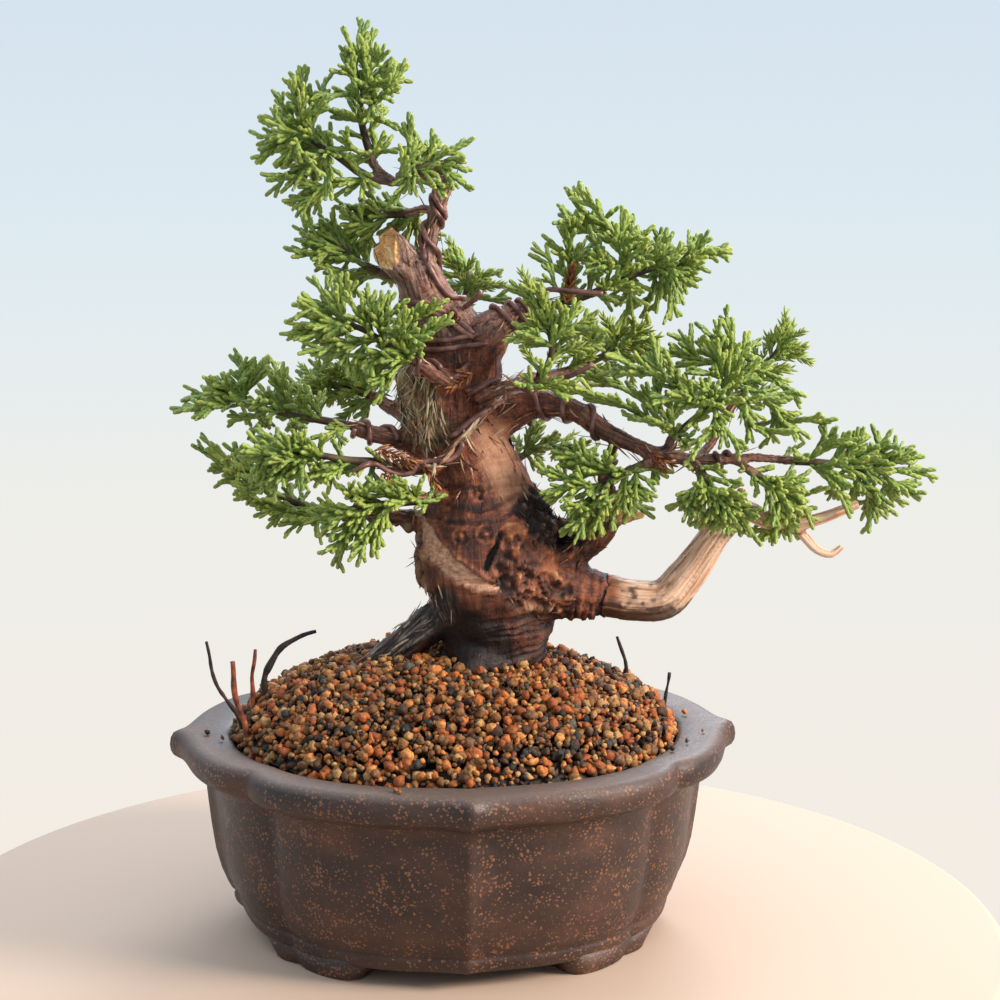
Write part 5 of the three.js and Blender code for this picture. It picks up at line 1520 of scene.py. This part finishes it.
def scale_leaves():
    # Living scale foliage: waxy, close-set scales, yellow-green at the growing tips, mid green
    # further down and dark on the old growth, with a bump for each pair of scales
    material, shader, add = new_material("juniper_scale_leaves")
    names = ("age", "tint", "reach", "fan")
    age, tint, reach, fan = (add("Attribute", attribute_name=name, output="Fac") for name in names)
    stops = [(0, "#4f6425"), (0.3, "#7b9244"), (0.6, "#8fa247"), (0.85, "#a0ad4f"), (1, "#afb65f")]
    shade = add("MapRange", [tint, 0, 1, 0.82, 1.14])
    varied = add("VectorMath", {0: add("ValToRGB", [age], stops), "Scale": shade}, operation="SCALE")
    wave = add("Math", [add("Math", [reach, math.pi], operation="MULTIPLY")], operation="COSINE")
    braid = add("Math", [wave, fan], operation="MULTIPLY")
    dip = add("MapRange", [braid, -0.6, 0.6, 0.78, 1.08])
    scaled = add("VectorMath", {0: varied, "Scale": dip}, operation="SCALE")
    bump = add("Bump", {"Height": braid, "Strength": 0.5, "Distance": 0.0003})
    set_inputs(shader, {"Base Color": scaled, "Roughness": 0.58, "Normal": bump})
    return material


ROD = {(CORD_SIDES, rings): rod_template(CORD_SIDES, rings) for rings in RING_CHOICES}
ROD[4, 4] = rod_template(4, 4)
leaf = scale_leaves()
# Young twig inside a spray: thin red-brown bark with green scales left on it
twig_bark = speckled(
    "young_twig_bark", 300, 0.7, [(0.35, "#22170d"), (0.5, "#46301a"), (0.62, "#4c4a1e"), (0.75, "#5f6e2a")]
)
for number, (name, spray) in enumerate(SPRAYS.items()):
    cords, needles = grow_spray(spray, 300 + number)
    finished(name + "_cords", cord_mesh(name + "_cords", cords, needles), leaf, [name])
    last = len(spray["core"]) - 1
    first, second = Vector(spray["core"][0]), Vector(spray["core"][1])
    root = first + (first - second).normalized() * 0.9
    stem = [(*root, 1.25)] + [(*spot, 1.2 - 0.55 * i / last) for i, spot in enumerate(spray["core"])]
    finished(name + "_stem", smooth_tube(name + "_stem", stem, 8, 1), twig_bark)

# Loose bark, dry needles and the wires that cross the trunk


def blade_group(blades):
    """thin tapered strips, each bent along its own curve and flat to the bark"""
    places, faces = ROD[4, 4]
    t = places[None, :, 2:]
    start, middle, end, up = (np.array([blade[k] for blade in blades])[:, None] for k in range(4))
    width = np.array([blade[4] for blade in blades])[:, None, None]
    spots = (1 - t) ** 2 * start + 2 * t * (1 - t) * middle + t**2 * end
    heading = 2 * (1 - t) * (middle - start) + 2 * t * (end - middle)
    side = np.cross(heading, up)
    side /= np.linalg.norm(side, axis=2, keepdims=True)
    over = np.cross(side, heading)
    over /= np.linalg.norm(over, axis=2, keepdims=True)
    taper = np.interp(t, (0, 0.33, 0.67, 1), (0.8, 1, 0.8, 0.15))
    x, y = places[None, :, :1], places[None, :, 1:2]
    return spots + taper * (side * x * width / 2 + over * y * 0.13), faces


def loose_strips(kinds, count, seed):
    """strips that have come away from the bark, where each kind of bark lets go of them"""
    chance = np.random.default_rng(seed)
    blades, tones = [], []
    for weight, share, length, lift, width, tone in kinds:
        weight = weight * (1 - bark_marks["bare"]) * (1 - bark_marks["cut"])
        picks = chance.choice(len(weight), int(count * share), replace=False, p=weight / weight.sum())
        for pick in picks:
            point, normal = bark_points[pick], bark_normals[pick]
            way = bark_marks["headings"][pick] * chance.choice((-1, 1))
            way = way - normal * way.dot(normal) + chance.normal(0, 0.22, 3)
            way /= np.linalg.norm(way)
            long, high = chance.uniform(*length), chance.uniform(*lift)
            side = np.cross(way, normal) * chance.normal(0, 0.12) * long
            start = point - normal * 0.12
            middle = point + way * long * 0.55 + normal * high * 0.12 + side
            end = point + way * long * 0.95 + normal * high + side * 0.4
            blades.append((start, middle, end, normal, chance.uniform(*width)))
            tones.append(np.full(len(ROD[4, 4][0]), chance.uniform(*tone)))
    mesh = copies("loose_strips", [blade_group(blades)])
    add_values(mesh, "tone", np.concatenate(tones))
    return mesh


def loose_bark():
    # Shed juniper bark: papery fibres, black where damp, red-brown inside and silver-tan where bleached; the
    # strips in the hollow are painted black as shade
    material, shader, add = new_material("shed_bark_strips")
    tone = add("Attribute", attribute_name="tone", output="Fac")
    specks = add("TexNoise", {"Vector": add("TexCoord", output="Object"), "Scale": 900, "Detail": 3})
    varied = add("MapRange", [specks, 0.3, 0.7, -0.15, 0.15])
    total = add("Math", [tone, varied], operation="ADD")
    stops = [(0, "#120a07"), (0.25, "#39201a"), (0.45, "#74442f"), (0.68, "#a98363"), (1, "#d0bfa3")]
    set_inputs(shader, {"Base Color": add("ValToRGB", [total], stops), "Roughness": 0.8})
    return material


def dry_needles():
    # Dead juvenile needles, orange-brown and brittle
    material, shader, add = new_material("dead_needles")
    tint = add("Attribute", attribute_name="tint", output="Fac")
    colour = add("ValToRGB", [tint], [(0, "#4c2512"), (0.5, "#94512a"), (1, "#bf8350")])
    set_inputs(shader, {"Base Color": colour, "Roughness": 0.7})
    return material


thin = smoothstep(1.2, 1.7, bark_marks["radius"]) * (1 - smoothstep(5, 8, bark_marks["radius"]))
above = smoothstep(118, 130, bark_points[:, 2])
front_of = smoothstep(0.4, -0.1, bark_normals[:, 1])
upper = above * smoothstep(170, 160, bark_points[:, 2]) * (bark_marks["radius"] > 8)
STRIP_KINDS = [
    # where, share, length, lift, width, tone
    (bark_marks["olive"] ** 2, 0.15, (2.5, 7), (0.3, 1.7), (0.35, 0.8), (0.45, 1)),
    # strips in the hollow take the darkest tones: painted shade
    (bark_marks["hollow"], 0.13, (1.5, 3.5), (0.4, 1.7), (0.3, 0.7), (0.0, 0.3)),
    (bark_marks["edge"], 0.08, (2, 5), (0.2, 1), (0.4, 0.9), (0.2, 0.75)),
    (thin * above, 0.36, (3, 9), (0.1, 0.8), (0.3, 0.8), (0.25, 0.85)),
    (upper * (1 - bark_marks["olive"]), 0.14, (2.5, 7), (0.1, 0.9), (0.3, 0.9), (0.25, 0.7)),
    (bark_marks["knobs"] + 0.3 * bark_marks["rough"], 0.04, (0.8, 2.4), (0.2, 0.7), (0.5, 1.1), (0.15, 0.5)),
    (streak(bark_points[:, [0, 2]], TORN_STUB, 6) + 1e-6, 0.06, (2, 5), (0.3, 1.4), (0.4, 0.9), (0.2, 0.6)),
    (bark_marks["grey"] + 0.001, 0.06, (3, 8), (0.05, 0.5), (0.3, 0.7), (0.1, 0.9)),
]
TWIG_STRIPS = [
    ((-12, -13.6, 133), (-5, -14.4, 134.6)), ((-7, -14.4, 134), (-1, -14.8, 136.5)),
    ((-3, -14.6, 135.2), (2, -15, 141)), ((0.6, -14.8, 139), (5, -14, 144.6)),
    ((3, -14.2, 142), (9.5, -12.3, 148.4)), ((2, -14.8, 142.6), (5.4, -15.2, 136.6)),
    ((-6, -14.6, 134), (-6.8, -16.6, 130)), ((4, -14.4, 144), (12, -12, 151)),
    ((-1, -14.8, 137), (-4.6, -16.4, 133.2)), ((-10, -14, 133.6), (-3.6, -15.8, 132.6)),
]
DRY_TUFTS = [
    ((4, -13.4, 157.4), (-3, -15.6, 153)), ((-23, -15, 136.8), (-14, -15.5, 132.6)),
    ((-9.6, -14, 133.2), (-7.6, -16, 129.4)), ((-20, -15.5, 131.5), (-18.6, -16.8, 128)),
    ((2, -5, 168), (-1, -10, 173)), ((30, -7, 176), (31, -9, 184)), ((52, -15, 134.5), (57, -17, 131)),
]
CROSSING_WIRES = [
    [
        (-28.4, -17, 131.4), (-24.9, -18, 133.6), (-20.8, -17, 133.4), (-18.7, -16, 131.2),
        (-14.6, -15.8, 129.9), (-11.5, -15.6, 130.9), (-11, -15.6, 134.1), (-8.9, -15.6, 134.8),
        (-5.8, -15.8, 134.3), (-2.7, -15.8, 134), (-0.1, -15.4, 135.5), (1, -14.4, 138.5),
        (0.5, -12, 140),
    ],
    [
        (-1.6, -12, 140), (-1.1, -14, 141.6), (-0.1, -15, 143.8), (1.9, -15.5, 145.9), (6.1, -15, 147.4),
        (10.8, -13, 147.9),
    ],
    [
        (-10.6, -11, 158.6), (-9.2, -13, 157.4), (-4.7, -14, 156.3), (-0.6, -14, 156.5), (2, -13, 158.1),
        (4, -10.5, 160),
    ],
    [(2.6, -10.5, 152.6), (4.1, -12, 154.4), (7.7, -12.6, 156), (10.8, -12, 158.5), (12.2, -9, 161)],
    [(3.2, -10.5, 151.4), (4.9, -12, 153), (8.5, -12.6, 154.6), (11.6, -12, 157.1), (13.4, -9, 159.6)],
    [
        (-14.7, -3, 175.8), (-10.5, -8, 176.2), (-5.4, -9.5, 174.7), (-1.3, -9.5, 173.4),
        (2.3, -9, 170.8), (5, -8, 167.6),
    ],
    [
        (-13, -4, 173.6), (-9.4, -8, 174.2), (-5.4, -9.5, 173), (-0.8, -9.5, 171.2), (2.3, -9, 168.6),
        (5.3, -7.5, 166.4),
    ],
    [(2.1, -4, 173.7), (4.5, -7, 176.3), (7, -9, 179)],
    [(24.6, -15, 155.2), (29.9, -18, 157.1), (35.9, -20, 160.3)],
]


def lay_on_bark(place, radius):
    """the place itself, or the nearest place on the bark if that is close"""
    spot, normal, _, distance = trunk_tree.find_nearest(Vector(place))
    if distance < 3.5 or is_inside(trunk_tree, Vector(place)):
        return spot + normal * (radius + 0.05)
    return Vector(place)


papery_bark = loose_bark()
finished("loose_strips", loose_strips(STRIP_KINDS, 1350, 11), papery_bark)
for number, places in enumerate(CROSSING_WIRES, 1):
    name = f"wire_run_{number}"
    rows = [(*lay_on_bark(place, WIRE_RADIUS), WIRE_RADIUS) for place in places]
    finished(name, smooth_tube(name, rows, 10, 0.8), brown_wire)
twig_rng = random.Random(4)
blades, tones = [], []
for ends in TWIG_STRIPS * 2:
    start, end = (Vector(place) + Vector([twig_rng.gauss(0, 0.45) for _ in range(3)]) for place in ends)
    middle = start.lerp(end, 0.5) + Vector((twig_rng.gauss(0, 0.6), -0.5, twig_rng.gauss(0, 0.6)))
    blades.append((start, middle, end, (0, -1, 0), twig_rng.uniform(0.5, 1.1)))
    tones.append(np.full(len(ROD[4, 4][0]), twig_rng.uniform(0.5, 0.95)))
twig_strips = copies("twig_strips", [blade_group(blades)])
add_values(twig_strips, "tone", np.concatenate(tones))
finished("twig_strips", twig_strips, papery_bark)
tufts = []
for start, end in DRY_TUFTS:
    for _ in range(2):
        nudge = Vector([twig_rng.gauss(0, 0.7) for _ in range(3)])
        start_at, end_at = Vector(start) + nudge, Vector(end) + nudge * 1.5
        stalk = new_cord(twig_rng, start_at, start_at.lerp(end_at, 0.5), end_at, 0.4, 0.5, 0.5)
        tufts += needles_on(twig_rng, stalk, 0.3)
finished("dry_tufts", cord_mesh("dry_tufts", [], tufts), dry_needles())

# Nets over the drain holes, seen only through the holes


# Polyethylene net: dull dark green
net = speckled("polyethylene_net", 500, 0.6, [(0.35, "#20261f"), (0.7, "#3f463a")], detail=2)
for name in ("drain_net_left", "drain_net_right"):
    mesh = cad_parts[name].data
    mesh.materials.clear()
    mesh.materials.append(net)

# Stage: pale round floor, sky, light and camera

FLOOR_RADIUS = 0.155
# Where the camera stands, its lens in mm, and how many degrees it looks down and to the right
CAMERA = {"place": (-30.4, -600, 221), "lens": 79.2, "down": 9.46, "right": 4.10}


def make_floor():
    bm = bmesh.new()
    bmesh.ops.create_cone(
        bm, cap_ends=True, segments=180, radius1=FLOOR_RADIUS, radius2=FLOOR_RADIUS, depth=0.012,
        matrix=Matrix.Translation((POT_AXIS.x, POT_AXIS.y, -0.006)),
    )
    top = [edge for edge in bm.edges if all(vert.co.z > -0.001 for vert in edge.verts)]
    bmesh.ops.bevel(bm, geom=top, offset=0.003, segments=4, profile=0.5, affect="EDGES", material=-1)
    mesh = to_mesh(bm, "floor")
    mesh.shade_smooth()
    floor = bpy.data.objects.new("floor", mesh)
    material, shader, _ = new_material("pale_floor")
    set_inputs(shader, {"Base Color": hex_colour("#c5ab96"), "Roughness": 0.75})
    floor.data.materials.append(material)
    bpy.context.scene.collection.objects.link(floor)


def add_area_light(name, place, target, size, power, colour):
    light = bpy.data.lights.new(name, "AREA")
    light.shape = "DISK"
    light.size = size
    light.energy = power
    light.color = hex_colour(colour)[:3]
    lamp = bpy.data.objects.new(name, light)
    lamp.location = place
    lamp.rotation_euler = (Vector(target) - Vector(place)).to_track_quat("-Z", "Y").to_euler()
    bpy.context.scene.collection.objects.link(lamp)


def make_sky():
    """cream low down and pale blue above behind the tree, and dimmer on the side of the camera"""
    world = bpy.data.worlds.new("pale_sky")
    world.use_nodes = True
    bpy.context.scene.world = world
    add = partial(add_node, world.node_tree)
    way = add("TexCoord", output="Generated")
    height = add("SeparateXYZ", [way], output="Z")
    stops = [(0, "#f3ede4"), (0.35, "#eeeeea"), (0.62, "#dfebf1"), (1, "#d2e0ee")]
    colour = add("ValToRGB", [add("MapRange", [height, -0.3, 0.1, 0, 1])], stops)
    behind = add("MapRange", [height.node.outputs["Y"], -0.4, 0.6, 0.76, 1])
    above = add("MapRange", [height, 0.12, 0.8, 1, 1.9])
    strength = add("Math", [behind, above], operation="MULTIPLY")
    set_inputs(world.node_tree.nodes["Background"], {"Color": colour, "Strength": strength})


make_floor()
make_sky()
middle = (POT_AXIS.x, POT_AXIS.y, 0.12)
add_area_light("window_right", (1.5, -0.75, 0.9), middle, 0.64, 55, "#fff0e2")
add_area_light("window_back", (0.3, 0.9, 0.8), middle, 0.6, 8, "#eef4ff")

camera_data = bpy.data.cameras.new("camera")
camera_data.sensor_width = 36
camera_data.lens = CAMERA["lens"]
camera_data.clip_start = 0.01
camera = bpy.data.objects.new("camera", camera_data)
camera.location = TO_ROW @ Vector(CAMERA["place"])
camera.rotation_euler = (math.radians(90 - CAMERA["down"]), 0, math.radians(-CAMERA["right"]))
bpy.context.scene.collection.objects.link(camera)
bpy.context.scene.camera = camera
bpy.context.scene.view_settings.view_transform = "Standard"
